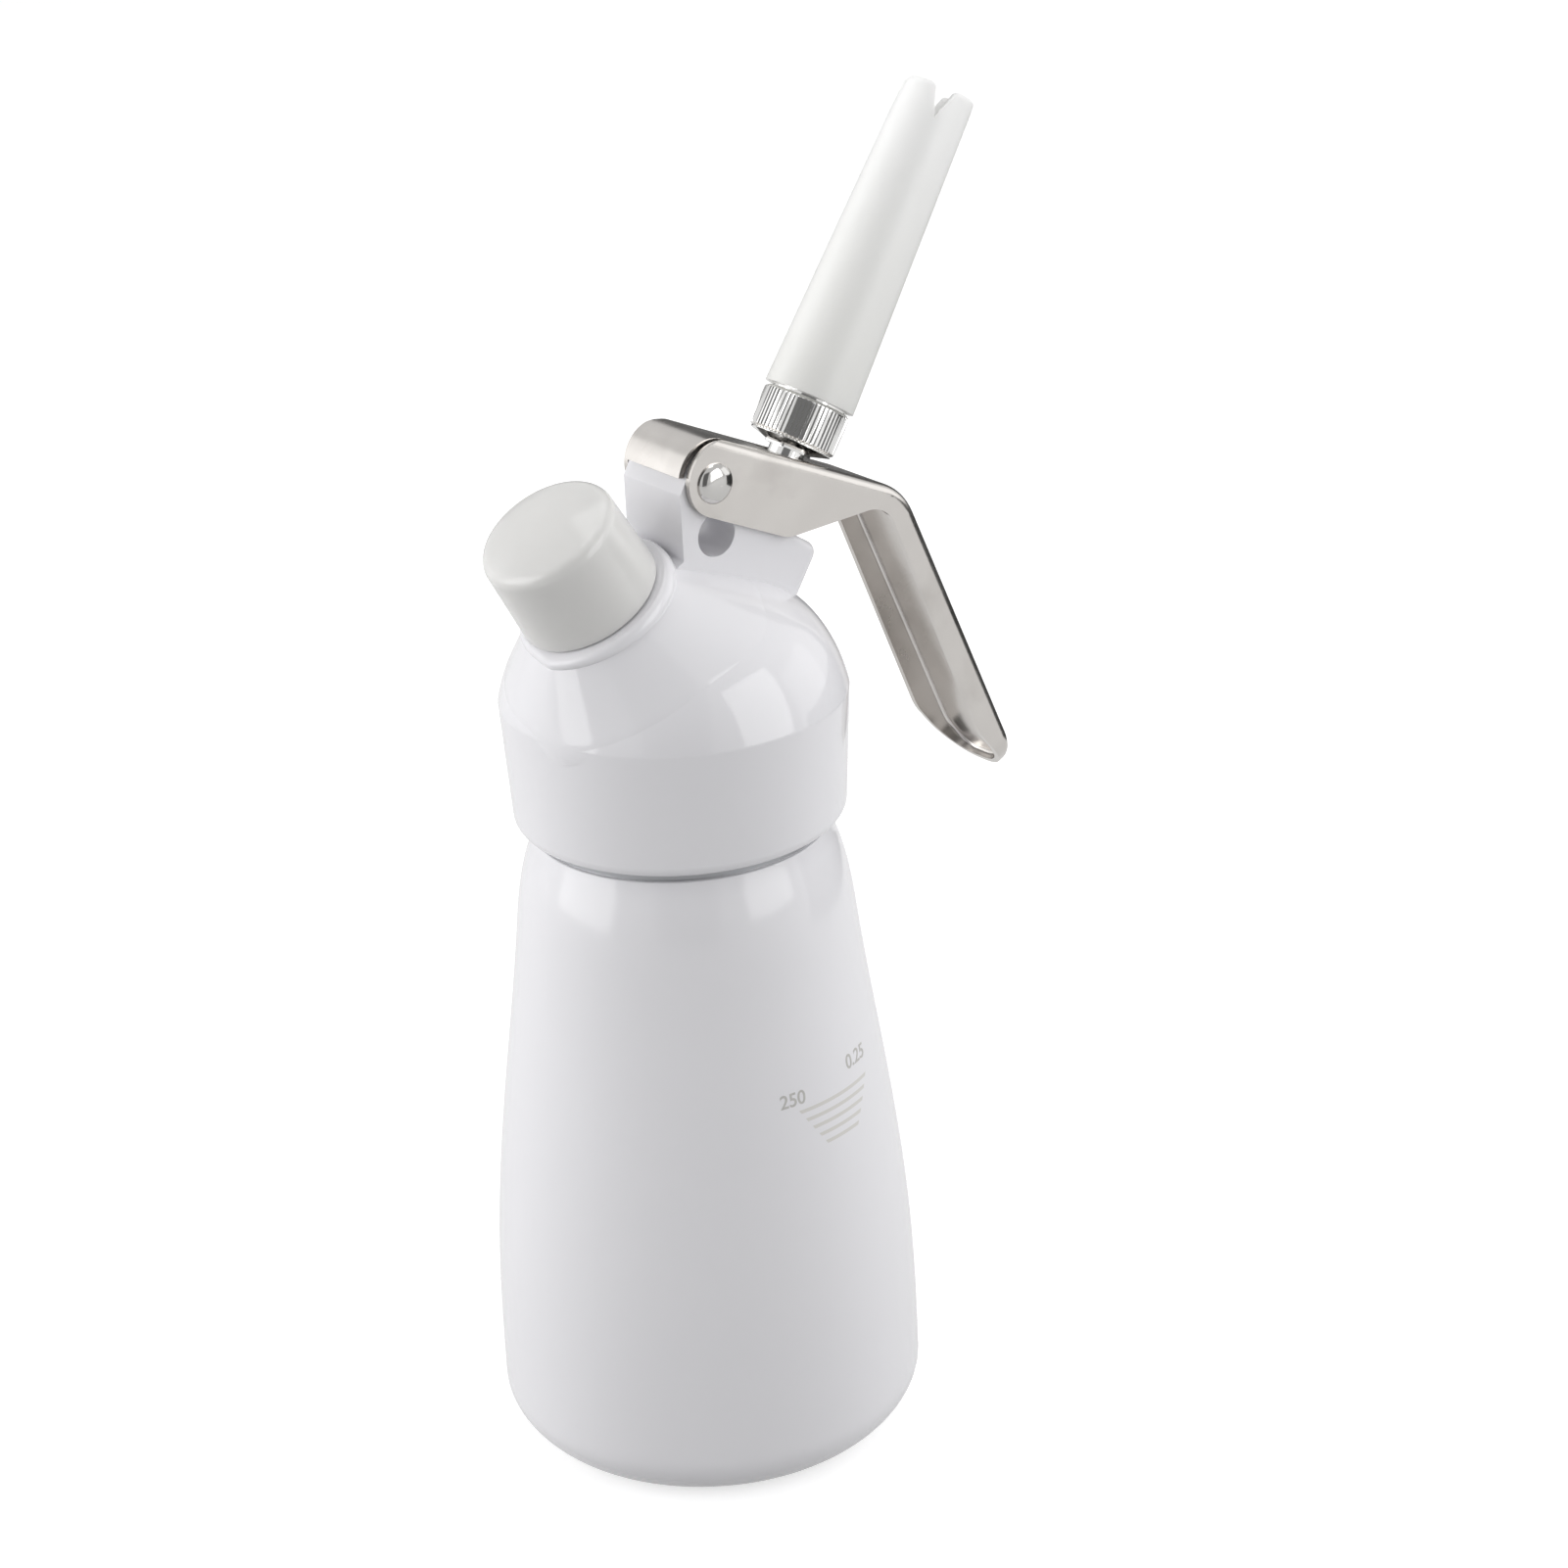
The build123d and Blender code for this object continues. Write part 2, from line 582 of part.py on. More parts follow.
def bent_block(inset):
    """Solid under the lever's skin, or under a skin moved inwards by the inset."""
    fall = math.radians(handle_slope - plate_slope)
    half = math.tan(fall / 2)
    along = Vector(math.cos(fall), 0, -math.sin(fall))
    inward = Vector(-math.sin(fall), 0, -math.cos(fall))
    top = plate_rise - inset
    bend = handle_bend_radius - inset
    width = lever_half_width - inset
    corner = Vector(plate_corner - inset * half, 0, top)
    bend_start = corner - Vector(bend * half, 0, 0)
    bend_middle = bend_start + Vector(bend * math.sin(fall / 2), 0, bend * (math.cos(fall / 2) - 1))
    bend_end = corner + along * (bend * half)
    tip = corner + along * (handle_length - inset - inset * half)
    start = Vector(-2 * ear_nose_radius, 0, top)
    outline = make_face([
        Line(start, bend_start), ThreePointArc(bend_start, bend_middle, bend_end), Line(bend_end, tip),
        Line(tip, tip + inward * block_depth),
        Line(tip + inward * block_depth, corner + inward * block_depth),
        Line(corner + inward * block_depth, Vector(ear_sole_back, 0, -2 * block_depth)),
        Line(Vector(ear_sole_back, 0, -2 * block_depth), Vector(start.X, 0, -2 * block_depth)),
        Line(Vector(start.X, 0, -2 * block_depth), start)])
    block = extrude(outline, width, both=True)
    ends = block.edges().filter_by(Axis((0, 0, 0), inward)).sort_by(Axis((0, 0, 0), along))[-2:]
    block = fillet(ends, handle_end_round - inset)
    return fillet(skin_rim(block, start.X), sheet_bend_radius - inset)


def ear_outline():
    """Side view of the lever: nose round the pin, sole of the ears, free edge of the handle's flange."""
    fall = math.radians(handle_slope - plate_slope)
    along = Vector(math.cos(fall), 0, -math.sin(fall))
    inward = Vector(-math.sin(fall), 0, -math.cos(fall))
    corner = Vector(plate_corner, 0, plate_rise)
    tip = corner + along * (handle_length + cut)
    sole = ear_nose_lift - ear_nose_radius
    heel_rise = math.tan(math.radians(plate_slope + ear_heel_rise))
    flange_root = corner + inward * handle_flange_depth
    flange_low = corner + along * (handle_length - handle_tip_sweep) + inward * handle_flange_low_depth
    flange_tip = tip + inward * handle_flange_tip_depth
    flange_fall = (flange_low.Z - flange_root.Z) / (flange_low.X - flange_root.X)
    meet_x = (flange_root.Z - sole - flange_fall * flange_root.X + heel_rise * ear_sole_back) / (
        heel_rise - flange_fall)
    meet = (meet_x, sole + heel_rise * (meet_x - ear_sole_back))
    above = plate_rise + cut
    sheet_side = Polygon((ear_nose_shift, above), (ear_nose_shift, sole), (ear_sole_back, sole), meet,
                         (flange_low.X, flange_low.Z), (flange_tip.X, flange_tip.Z),
                         (tip.X + cut, tip.Z), (plate_corner + cut, above), align=None)
    for place, size in ((ear_sole_back, ear_heel_round), (meet_x, ear_crook_round),
                        (flange_low.X, handle_tip_sweep)):
        corner_point = [point for point in sheet_side.vertices() if abs(point.X - place) < 0.01]
        sheet_side = fillet(corner_point, size)
    nose = Pos(ear_nose_shift, ear_nose_lift) * Circle(ear_nose_radius)
    return extrude(Plane.XZ * (sheet_side + nose), lever_half_width + cut, both=True)


def lip():
    """Front lip: the plate curled round the hinge, between the ears."""
    curl = ring(lip_radius, lip_radius - sheet, 0, 2 * lip_half_width)
    reach = 2 * lip_radius
    sweep_angle = math.radians(90 + lip_curl)
    keep = Polygon((0, 0), (0, reach), (-reach, reach), (-reach, 0),
                   (reach * math.cos(sweep_angle), reach * math.sin(sweep_angle)), align=None)
    curl = curl & extrude(keep, 2 * lip_half_width)
    return Pos(0, lip_half_width, plate_rise - lip_radius) * Rot(90, 0, 0) * curl


def lever():
    channel = (bent_block(0) - bent_block(sheet)) & ear_outline()
    front = Box(2 * ear_nose_radius, 2 * (lever_half_width - sheet), 4 * plate_rise,
                align=(Align.MAX, Align.CENTER, Align.CENTER))
    body = channel - front + lip()
    slot = Pos(stem_slot_reach, 0, plate_rise) * extrude(
        SlotOverall(stem_slot_length, stem_slot_width), 2 * sheet, both=True)
    return body - slot - across(pin_radius, lever_half_width + cut, 0, 0)


def domed_head():
    """Low dome on Z = 0 with a short straight rim."""
    outline = make_face([
        Line((0, 0, 0), (pin_head_radius, 0, 0)),
        Line((pin_head_radius, 0, 0), (pin_head_radius, 0, pin_head_rim)),
        Spline((pin_head_radius, 0, pin_head_rim), (0, 0, pin_head_rise), tangents=[(-0.5, 0, 1), (-1, 0, 0)]),
        Line((0, 0, pin_head_rise), (0, 0, 0))])
    return revolve(outline, Axis.Z)


def hinge_pin():
    head = Pos(0, -lever_half_width, 0) * Rot(90, 0, 0) * domed_head()
    tail = Pos(0, lever_half_width, 0) * Rot(-90, 0, 0) * rod(pin_tail_radius, -cut, pin_tail_length)
    return head + across(pin_radius, lever_half_width, 0, 0) + tail


def hinge_pin_cap():
    cap = domed_head() - rod(pin_tail_radius, -cut, pin_tail_length)
    return Pos(0, lever_half_width, 0) * Rot(-90, 0, 0) * cap


save(bottle_body(), "bottle_body")
save(head_gasket(), "head_gasket")
save(head_shell(), "head_shell")
save(port_frame * charging_valve_body(), "charging_valve_body")
save(port_frame * charger_seal(), "charger_seal")
save(port_frame * piercing_pin(), "piercing_pin")
save(port_frame * check_sleeve(), "check_sleeve")
save(port_frame * port_nut(), "port_nut")
save(port_frame * port_cap(), "port_cap")
save(port_frame * cap_liner(), "cap_liner")
save(valve_frame * valve_stem(), "valve_stem")
save(valve_frame * valve_seal(), "valve_seal")
save(valve_frame * stem_o_ring(), "stem_o_ring")
save(valve_frame * valve_cage(), "valve_cage")
save(valve_frame * spring_seat(), "spring_seat")
save(valve_frame * valve_spring(), "valve_spring")
save(valve_frame * push_washer(), "push_washer")
save(valve_frame * stem_adapter(), "stem_adapter")
save(valve_frame * nozzle_seal(), "nozzle_seal")
save(valve_frame * nozzle_ferrule(), "nozzle_ferrule")
save(valve_frame * decorator_nozzle(), "decorator_nozzle")
save(lever_frame * lever(), "lever")
save(lever_frame * hinge_pin(), "hinge_pin")
save(lever_frame * hinge_pin_cap(), "hinge_pin_cap")
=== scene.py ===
import math

import bmesh
import bpy
import numpy as np
from mathutils import Matrix, Vector


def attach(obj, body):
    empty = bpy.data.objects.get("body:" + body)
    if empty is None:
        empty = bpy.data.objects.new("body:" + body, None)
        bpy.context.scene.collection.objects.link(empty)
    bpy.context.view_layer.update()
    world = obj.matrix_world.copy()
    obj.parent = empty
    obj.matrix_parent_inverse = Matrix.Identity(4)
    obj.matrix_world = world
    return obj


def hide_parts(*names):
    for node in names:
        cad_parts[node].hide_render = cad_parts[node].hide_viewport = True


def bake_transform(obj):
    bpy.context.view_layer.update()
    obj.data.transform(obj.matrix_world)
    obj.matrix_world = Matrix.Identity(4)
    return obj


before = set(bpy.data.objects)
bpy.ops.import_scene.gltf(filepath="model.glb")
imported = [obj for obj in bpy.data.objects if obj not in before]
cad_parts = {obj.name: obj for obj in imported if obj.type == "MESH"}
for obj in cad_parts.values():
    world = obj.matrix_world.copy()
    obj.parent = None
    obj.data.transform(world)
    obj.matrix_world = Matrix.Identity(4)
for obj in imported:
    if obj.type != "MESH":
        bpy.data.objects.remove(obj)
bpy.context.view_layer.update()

# ---------------------------------------------------------------- bottle
# The bottle is drawn from aluminium, with a thick neck for the thread. It is sprayed with
# gloss white enamel and baked down from the bare neck, and its fill mark is a grey print.
# The bare neck's metal is darkened as painted shade under the head's rim, and the foot's
# lowest 0.9 mm is blended halfway to grey.
mm = 0.001
full_turn = 2 * math.pi

bottle_heights = np.array([9.0, 35.0, 65.0, 92.0, 109.0])
bottle_radii = np.array([36.0, 35.4, 32.2, 28.5, 24.95])
shoulder_lean = 0.42
bottle_wall = 1.0
bottle_floor = 1.6
foot_flat = 26.8
foot_hollow = 0.5
hollow_radius, standing_radius = 21.0, 23.5
neck_radius = 23.9
neck_wall = 2.6
neck_root = 111.6
shoulder_edge = 110.85
shoulder_edge_radius = 24.5
neck_top = 130.3
neck_pitch = 3.0
neck_thread = (114.0, 129.0)
neck_thread_depth = 0.55


def eased(at, knots, values, first_slope, last_slope):
    """Cubic pieces through the knots, with the given end slopes: slope and curvature run on at each
    inner knot."""
    gap = np.diff(knots)
    rise = np.diff(values) / gap
    inner = np.arange(1, len(knots) - 1)
    system = np.eye(len(knots))
    system[inner, inner - 1] = gap[1:]
    system[inner, inner] = 2 * (gap[:-1] + gap[1:])
    system[inner, inner + 1] = gap[:-1]
    wanted = np.full(len(knots), float(first_slope))
    wanted[-1] = last_slope
    wanted[inner] = 3 * (gap[1:] * rise[:-1] + gap[:-1] * rise[1:])
    slope = np.linalg.solve(system, wanted)
    cell = np.clip(np.searchsorted(knots, at) - 1, 0, len(knots) - 2)
    part = (at - knots[cell]) / gap[cell]
    return (values[cell] * (1 + 2 * part) * (1 - part) ** 2 + values[cell + 1] * part ** 2 * (3 - 2 * part)
            + gap[cell] * part * (1 - part) * (slope[cell] * (1 - part) - slope[cell + 1] * part))


def swept_corner(start, leaving, end, arriving, steps=14):
    """Cubic between two points that leaves and arrives in the given directions, each as long as the chord."""
    start, end = np.array(start, float), np.array(end, float)
    chord = np.hypot(*(end - start))
    leaving = chord * np.array(leaving) / np.hypot(*leaving)
    arriving = chord * np.array(arriving) / np.hypot(*arriving)
    part = np.linspace(0, 1, steps)[:, None]
    return (start * (1 + 2 * part) * (1 - part) ** 2 + end * part ** 2 * (3 - 2 * part)
            + part * (1 - part) * (leaving * (1 - part) - arriving * part))


def outline(*corners, steps=5):
    """Points of an outline from (across, up) corners: one with a third number is swapped for an arc of
    that radius, which touches the lines to the corners before and after it."""
    points = []
    for here, corner in enumerate(corners):
        place = np.array(corner[:2], float)
        if len(corner) == 2:
            points.append(place[None])
            continue
        back = np.array(corners[here - 1][:2]) - place
        on = np.array(corners[(here + 1) % len(corners)][:2]) - place
        back, on = back / np.hypot(*back), on / np.hypot(*on)
        half = math.acos(back @ on) / 2
        middle = place + (back + on) / np.hypot(*(back + on)) * corner[2] / math.sin(half)
        first = place + back * corner[2] / math.tan(half) - middle
        last = place + on * corner[2] / math.tan(half) - middle
        start = math.atan2(first[1], first[0])
        sweep = (math.atan2(last[1], last[0]) - start + math.pi) % full_turn - math.pi
        angle = start + sweep * np.linspace(0, 1, steps + 1)
        points.append(middle + corner[2] * np.column_stack([np.cos(angle), np.sin(angle)]))
    return np.vstack(points)


def turned(profile, steps=192, reach=None):
    """Grid of an outline of (radius, height) points carried round the axis. It goes out under the piece,
    up its outside and in over its top, so faces point outwards. reach gives a radius from angle, radius
    and height."""
    angle = np.linspace(0, full_turn, steps, endpoint=False)[:, None]
    radius = profile[None, :, 0] + 0 * angle
    height = profile[None, :, 1] + 0 * angle
    if reach:
        radius = reach(angle, radius, height)
    return np.stack([radius * np.cos(angle), radius * np.sin(angle), height], axis=-1)


def thread_ridge(angle, height, pitch, low, high):
    """Height of a right-hand thread from 0 to 1: a wave along the pitch that climbs one pitch a turn, with
    flat crests and roots, and fades out over half a turn at both ends."""
    phase = (height / pitch - angle / full_turn) % 1
    wave = np.clip(2.4 * (1 - np.abs(2 * phase - 1)) - 0.7, 0, 1)
    return wave * np.clip(2 * (height - low) / pitch, 0, 1) * np.clip(2 * (high - height) / pitch, 0, 1)


def made(name, body, *grids, rows_close=True, columns_close=False, sharp=35):
    """Object from grids of points in mm: each quad joins neighbours in both directions, and a direction that
    closes runs on to its start. Poles are merged, and edges sharper than the angle stay crisp."""
    points, quads, count = [], [], 0
    for grid in grids:
        index = count + np.arange(grid.shape[0] * grid.shape[1]).reshape(grid.shape[:2])
        count += index.size
        if rows_close:
            index = np.vstack([index, index[:1]])
        if columns_close:
            index = np.hstack([index, index[:, :1]])
        around = [index[:-1, :-1], index[1:, :-1], index[1:, 1:], index[:-1, 1:]]
        quads.append(np.stack(around, axis=-1).reshape(-1, 4))
        points.append(grid.reshape(-1, 3))
    mesh = bpy.data.meshes.new(name)
    mesh.from_pydata((np.vstack(points) * mm).tolist(), [], np.vstack(quads).tolist())
    merged = bmesh.new()
    merged.from_mesh(mesh)
    bmesh.ops.remove_doubles(merged, verts=merged.verts, dist=2e-4 * mm)
    merged.to_mesh(mesh)
    merged.free()
    return shaded(mesh, name, body, sharp)


def shaded(mesh, name, body, sharp=35):
    """Object of a finished mesh that rides on a body, smooth but for edges sharper than the angle."""
    mesh.polygons.foreach_set("use_smooth", np.ones(len(mesh.polygons), bool))
    mesh.set_sharp_from_angle(angle=math.radians(sharp))
    piece = bpy.data.objects.new(name, mesh)
    bpy.context.scene.collection.objects.link(piece)
    weighted = piece.modifiers.new("even shading", "WEIGHTED_NORMAL")
    weighted.keep_sharp = True
    if body:
        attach(piece, body)
    return piece


class Reading:
    """A value that varies over a finish. Arithmetic on it adds the finish's Math nodes."""

    def __init__(self, finish, socket):
        self.finish, self.socket = finish, socket

    def math(self, operation, *values):
        """The operation on the values, in a Math node of the finish."""
        return self.finish.node("ShaderNodeMath", {"operation": operation}, dict(enumerate(values)))

    def __add__(self, other):
        return self.math("ADD", self, other)

    def __sub__(self, other):
        return self.math("SUBTRACT", self, other)

    def __rsub__(self, other):
        return self.math("SUBTRACT", other, self)

    def __mul__(self, other):
        return self.math("MULTIPLY", self, other)

    def __truediv__(self, other):
        return self.math("DIVIDE", self, other)

    def __abs__(self):
        return self.math("ABSOLUTE", self)

    def __lt__(self, other):
        return self.math("LESS_THAN", self, other)

    def __gt__(self, other):
        return self.math("GREATER_THAN", self, other)

    def __mod__(self, other):
        return self.math("FLOORED_MODULO", self, other)

    __radd__, __rmul__ = __add__, __mul__


class Finish:
    """A finish: a shader with the settings that hold all over it, and the nodes for what varies."""

    def __init__(self, name, **settings):
        self.material = bpy.data.materials.new(name)
        self.material.use_nodes = True
        self.tree = self.material.node_tree
        self.shader = self.tree.nodes["Principled BSDF"]
        for socket, value in settings.items():
            self.shader.inputs[socket.replace("_", " ")].default_value = value

    def node(self, kind, settings=None, inputs=None, output=0):
        """Adds a node: its settings first, then the values or links of its sockets."""
        added = self.tree.nodes.new(kind)
        for setting, value in (settings or {}).items():
            setattr(added, setting, value)
        for socket, value in (inputs or {}).items():
            self.feed(added.inputs[socket], value)
        return Reading(self, added.outputs[output])

    def feed(self, socket, value):
        """Links a reading to a socket, or sets a constant. A name means one of the shader's own sockets."""
        if isinstance(socket, str):
            socket = self.shader.inputs[socket]
        if isinstance(value, Reading):
            self.tree.links.new(value.socket, socket)
        else:
            socket.default_value = value

    def place(self):
        """Where a point lies on the object, in metres."""
        return self.node("ShaderNodeTexCoord", output="Object")

    def noise(self, scale, detail=2.0, stretch=(1, 1, 1), turn=(0, 0, 0)):
        """Noise with so many grains to the metre, drawn out along the turned axes."""
        turned_place = self.node("ShaderNodeMapping", {"vector_type": "TEXTURE"},
                                 {"Vector": self.place(), "Rotation": turn, "Scale": stretch})
        return self.node("ShaderNodeTexNoise", {}, {"Vector": turned_place, "Scale": scale, "Detail": detail})

    def blend(self, share, first, second):
        """Colour between two colours."""
        return self.node("ShaderNodeMix", {"data_type": "RGBA"}, {0: share, 6: first, 7: second}, 2)

    def relief(self, height, depth, strength=1.0):
        """Bump of the given depth in mm."""
        self.feed("Normal", self.node("ShaderNodeBump", {}, {"Height": height, "Distance": depth * mm,
                                                             "Strength": strength}))

    def on(self, *pieces):
        """Puts the finish on pieces of the scene and on nodes of the solid, which are given by name."""
        for piece in pieces:
            if isinstance(piece, str):
                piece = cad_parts[piece]
            piece.data.materials.clear()
            piece.data.materials.append(self.material)


def enamel(name):
    """Baked enamel: faint orange peel and slow changes of tone. Gives the finish, its colour and its wear."""
    finish = Finish(name, IOR=1.46, Coat_Weight=0.12, Coat_Roughness=0.05)
    colour = finish.blend(finish.noise(22, 3), (0.765, 0.76, 0.785, 1), (0.805, 0.80, 0.825, 1))
    finish.relief(finish.noise(420, 2), 0.012, 0.35)
    return finish, colour, finish.noise(60, 4)


mark_middle = math.radians(-79.7)
mark_low = 62.8
mark_high = 69.5
mark_pitch = (mark_high - mark_low) / 4
mark_line = 0.31
mark_low_half_width = 7.2
mark_spread = 1.2
mark_margin = 1
line_grey = (0.66, 0.645, 0.62, 1)
# The bottle's lowest 0.9 mm, its underside and the foot's lowest curve, is blended halfway to this grey.
foot_grey_height = 0.9
foot_grey = (0.55, 0.55, 0.56, 1)
# Painted shade: the bare neck's aluminium gets this dark colour to stand in for the shade under the head's
# rim.
shade_darkened_aluminium = (0.36, 0.365, 0.38, 1)

bottle_finish, bottle_colour, bottle_wear = enamel("bottle enamel")
spot = bottle_finish.node("ShaderNodeSeparateXYZ", {}, {"Vector": bottle_finish.place()})
spot_y, spot_z = (Reading(bottle_finish, spot.socket.node.outputs[axis]) for axis in "YZ")
spot_angle = spot.math("ARCTAN2", spot_y, spot)
spot_height = spot_z / mm
on_line = abs((spot_height - mark_low + mark_pitch / 2) % mark_pitch - mark_pitch / 2) < mark_line
half_width = (spot_height - mark_low) * math.radians(mark_spread) + math.radians(mark_low_half_width)
in_mark = (spot_height > mark_low - mark_margin) * (spot_height < mark_high + mark_margin)
fill_mark = on_line * in_mark * (abs(spot_angle - mark_middle) < half_width)
bare_neck_with_painted_shade = spot_height > shoulder_edge + 0.02
bottle_colour = bottle_finish.blend(fill_mark, bottle_colour, line_grey)
# Darker towards the bottom: the lowest 0.9 mm is blended halfway to grey.
bottle_colour = bottle_finish.blend((spot_height < foot_grey_height) * 0.5, bottle_colour, foot_grey)
# Painted shade: the bare neck takes the darkened aluminium colour. Its metallic and roughness are the bare
# metal's own.
bottle_finish.feed("Base Color", bottle_finish.blend(bare_neck_with_painted_shade, bottle_colour, shade_darkened_aluminium))
bottle_finish.feed("Metallic", bare_neck_with_painted_shade)
bottle_finish.feed("Roughness", 0.11 + 0.08 * bottle_wear + 0.33 * bare_neck_with_painted_shade)

bottle_side = np.linspace(bottle_heights[0], bottle_heights[-1], 90)
bottle_side_radii = eased(bottle_side, bottle_heights, bottle_radii, 0, -shoulder_lean)
foot_curve = swept_corner((foot_flat, 0), (1, 0), (bottle_radii[0], bottle_heights[0]), (0, 1))
shoulder_curve = outline((bottle_radii[-1], bottle_heights[-1]), (shoulder_edge_radius, shoulder_edge, 0.3),
                         (neck_radius, shoulder_edge, 0.12), (neck_radius, neck_root))
neck_heights = np.linspace(neck_root + 0.5, neck_top - 0.5, 90)
bottle_profile = np.vstack([
    [(0, foot_hollow), (hollow_radius, foot_hollow), (standing_radius - 1, 0.12), (standing_radius, 0)],
    foot_curve, np.column_stack([bottle_side_radii, bottle_side])[1:-1], shoulder_curve,
    np.column_stack([np.full(90, neck_radius), neck_heights]),
    outline((neck_radius, neck_top - 0.5), (neck_radius, neck_top, 0.4),
            (neck_radius - neck_wall, neck_top, 0.4), (neck_radius - neck_wall, neck_root))[1:],
    np.column_stack([bottle_side_radii - bottle_wall, bottle_side])[::-3],
    foot_curve[::-1] + np.array([-bottle_wall, 0]) + np.outer(np.linspace(0, 1, 14), (0, bottle_floor)),
    [(0, bottle_floor)]])


def bottle_neck_reach(angle, radius, height):
    """Neck radius: thread crests level with the neck, roots one thread depth under it."""
    on_neck = (radius > neck_radius - 0.1) & (height > neck_thread[0]) & (height < neck_thread[1])
    ridge = thread_ridge(angle, height, neck_pitch, *neck_thread)
    return np.where(on_neck, neck_radius - neck_thread_depth * (1 - ridge), radius)


bottle = made("bottle", "bottle", turned(bottle_profile, 256, bottle_neck_reach))
bottle_finish.on(bottle)
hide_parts("bottle_body")

ink = Finish("grey print", Roughness=0.35)
ink.feed("Base Color", ink.blend(ink.noise(1500, 3), (0.43, 0.42, 0.405, 1), (0.56, 0.55, 0.53, 1)))
ink_thickness, ink_spread, ink_lift = 0.03, 0.04, 0.01


def printed(digits, size, middle, height):
    """A number in a thin layer of ink, laid round the bottle at a height and an angle in degrees."""
    letters = bpy.data.curves.new("number " + digits, "FONT")
    letters.body = digits
    letters.size = size
    letters.align_x = letters.align_y = "CENTER"
    letters.extrude = ink_thickness / 2
    letters.offset = ink_spread
    flat = bpy.data.objects.new("flat number", letters)
    bpy.context.scene.collection.objects.link(flat)
    bpy.context.view_layer.update()
    mesh = bpy.data.meshes.new_from_object(flat.evaluated_get(bpy.context.evaluated_depsgraph_get()))
    bpy.data.objects.remove(flat)
    points = np.empty(3 * len(mesh.vertices))
    mesh.vertices.foreach_get("co", points)
    across, up, out = points.reshape(-1, 3).T
    radius = eased(height + up, bottle_heights, bottle_radii, 0, -shoulder_lean) + ink_lift + out
    angle = math.radians(middle) + across / radius
    laid_round = np.column_stack([radius * np.cos(angle), radius * np.sin(angle), height + up])
    mesh.vertices.foreach_set("co", (laid_round * mm).ravel())
    number = shaded(mesh, "number_" + digits.replace(".", "_"), "bottle")
    ink.on(number)


printed("0.25", 3.5, -68.4, 73.6)
printed("250", 3.3, -96.9, 71.9)

# ---------------------------------------------------------------- head gasket
# A flat ring of translucent silicone, pressed out of sheet. It lies loose in the head's
# thread and seals on the bottle's mouth.
silicone = Finish("silicone", IOR=1.41, Subsurface_Weight=0.3, Subsurface_Scale=0.002)
silicone.feed("Base Color", silicone.blend(
    silicone.noise(90, 3), (0.72, 0.71, 0.68, 1), (0.80, 0.79, 0.77, 1)))
silicone.feed("Roughness", 0.42 + 0.15 * silicone.noise(500, 3))
silicone.relief(silicone.noise(2500, 2), 0.01, 0.4)

gasket_inside, gasket_outside = 19.7, 23.8
gasket_foot, gasket_top = 130.4, 132.1
gasket_edge = 0.35
gasket = made("gasket_ring", "neck_seal", turned(outline(
    (gasket_inside, gasket_foot, gasket_edge), (gasket_outside, gasket_foot, gasket_edge),
    (gasket_outside, gasket_top, gasket_edge), (gasket_inside, gasket_top, gasket_edge))), columns_close=True)
silicone.on(gasket)
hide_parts("head_gasket")

# ---------------------------------------------------------------- head
# The head is one aluminium casting in the bottle's enamel: a threaded skirt and dome, the
# collar of the charging port, and the fin with the hinge tower and the valve boss.
rim_height = 112.56
rim_radius = 27.3
rim_round = 2.2
crease_radius = 28.54
crease_height = 134.0
dome_centre = 127.6
dome_wall = 3.0
cavity_radius = 21.5
skirt_bore = 24.2
skirt_chamfer = 0.5
skirt_thread_depth = 0.45
dome_radius = math.hypot(crease_radius, crease_height - dome_centre)

valve_tilt = 33.55
valve_x = 18.835
valve_z = 158.213
valve_bore_in_dome = 7.0
port_tilt = -30.1
port_x = -15.497
port_z = 154.333
port_reach = 30.9
port_bore_in_dome = 11.4


def leant(grid, tilt, x, z):
    """The grid turned about Y, so that its axis leans towards +X by the tilt in degrees, then moved to
    (x, 0, z)."""
    sin, cos = math.sin(math.radians(tilt)), math.cos(math.radians(tilt))
    return np.stack([grid[..., 0] * cos + grid[..., 2] * sin + x, grid[..., 1],
                     grid[..., 2] * cos - grid[..., 0] * sin + z], axis=-1)


def on_valve(grid):
    """Grid drawn on the valve's own axis, brought to its place."""
    return leant(grid, valve_tilt, valve_x, valve_z)


def on_port(grid):
    """Grid drawn on the charging port's own axis, brought to its place."""
    return leant(grid, port_tilt, port_x, port_z)


def cut_from(piece, *cutters):
    """Takes closed grids away from a piece, and merges the result."""
    for grid in cutters:
        cutter = made("cutter", "head", grid)
        taken = piece.modifiers.new("cut", "BOOLEAN")
        taken.object = cutter
        taken.solver = "EXACT"
        bpy.context.view_layer.update()
        shape = bpy.data.meshes.new_from_object(piece.evaluated_get(bpy.context.evaluated_depsgraph_get()))
        piece.modifiers.remove(taken)
        piece.data = shape
        bpy.data.objects.remove(cutter)


def drill(radius, low, high, steps=96):
    """Closed cylinder round the axis between two heights."""
    return turned(np.array([(0, low), (radius, low), (radius, high), (0, high)], float), steps)


def on_centre(reach, polar):
    """Outline points so far from the dome's centre, at angles from straight up."""
    return np.column_stack([reach * np.sin(polar), dome_centre + reach * np.cos(polar)])


dome_polars = np.radians([0, 24, 34, 42, 50, 60, 80])
dome_reaches = np.array([27.6, 27.66, 27.98, 28.4, 28.95, 29.22, dome_radius])


def dome_reach(polar):
    """How far the dome's outside is from its centre: round low down, and flatter towards the crown."""
    return eased(np.clip(polar, 0, dome_polars[-1]), dome_polars, dome_reaches, 0, 0)


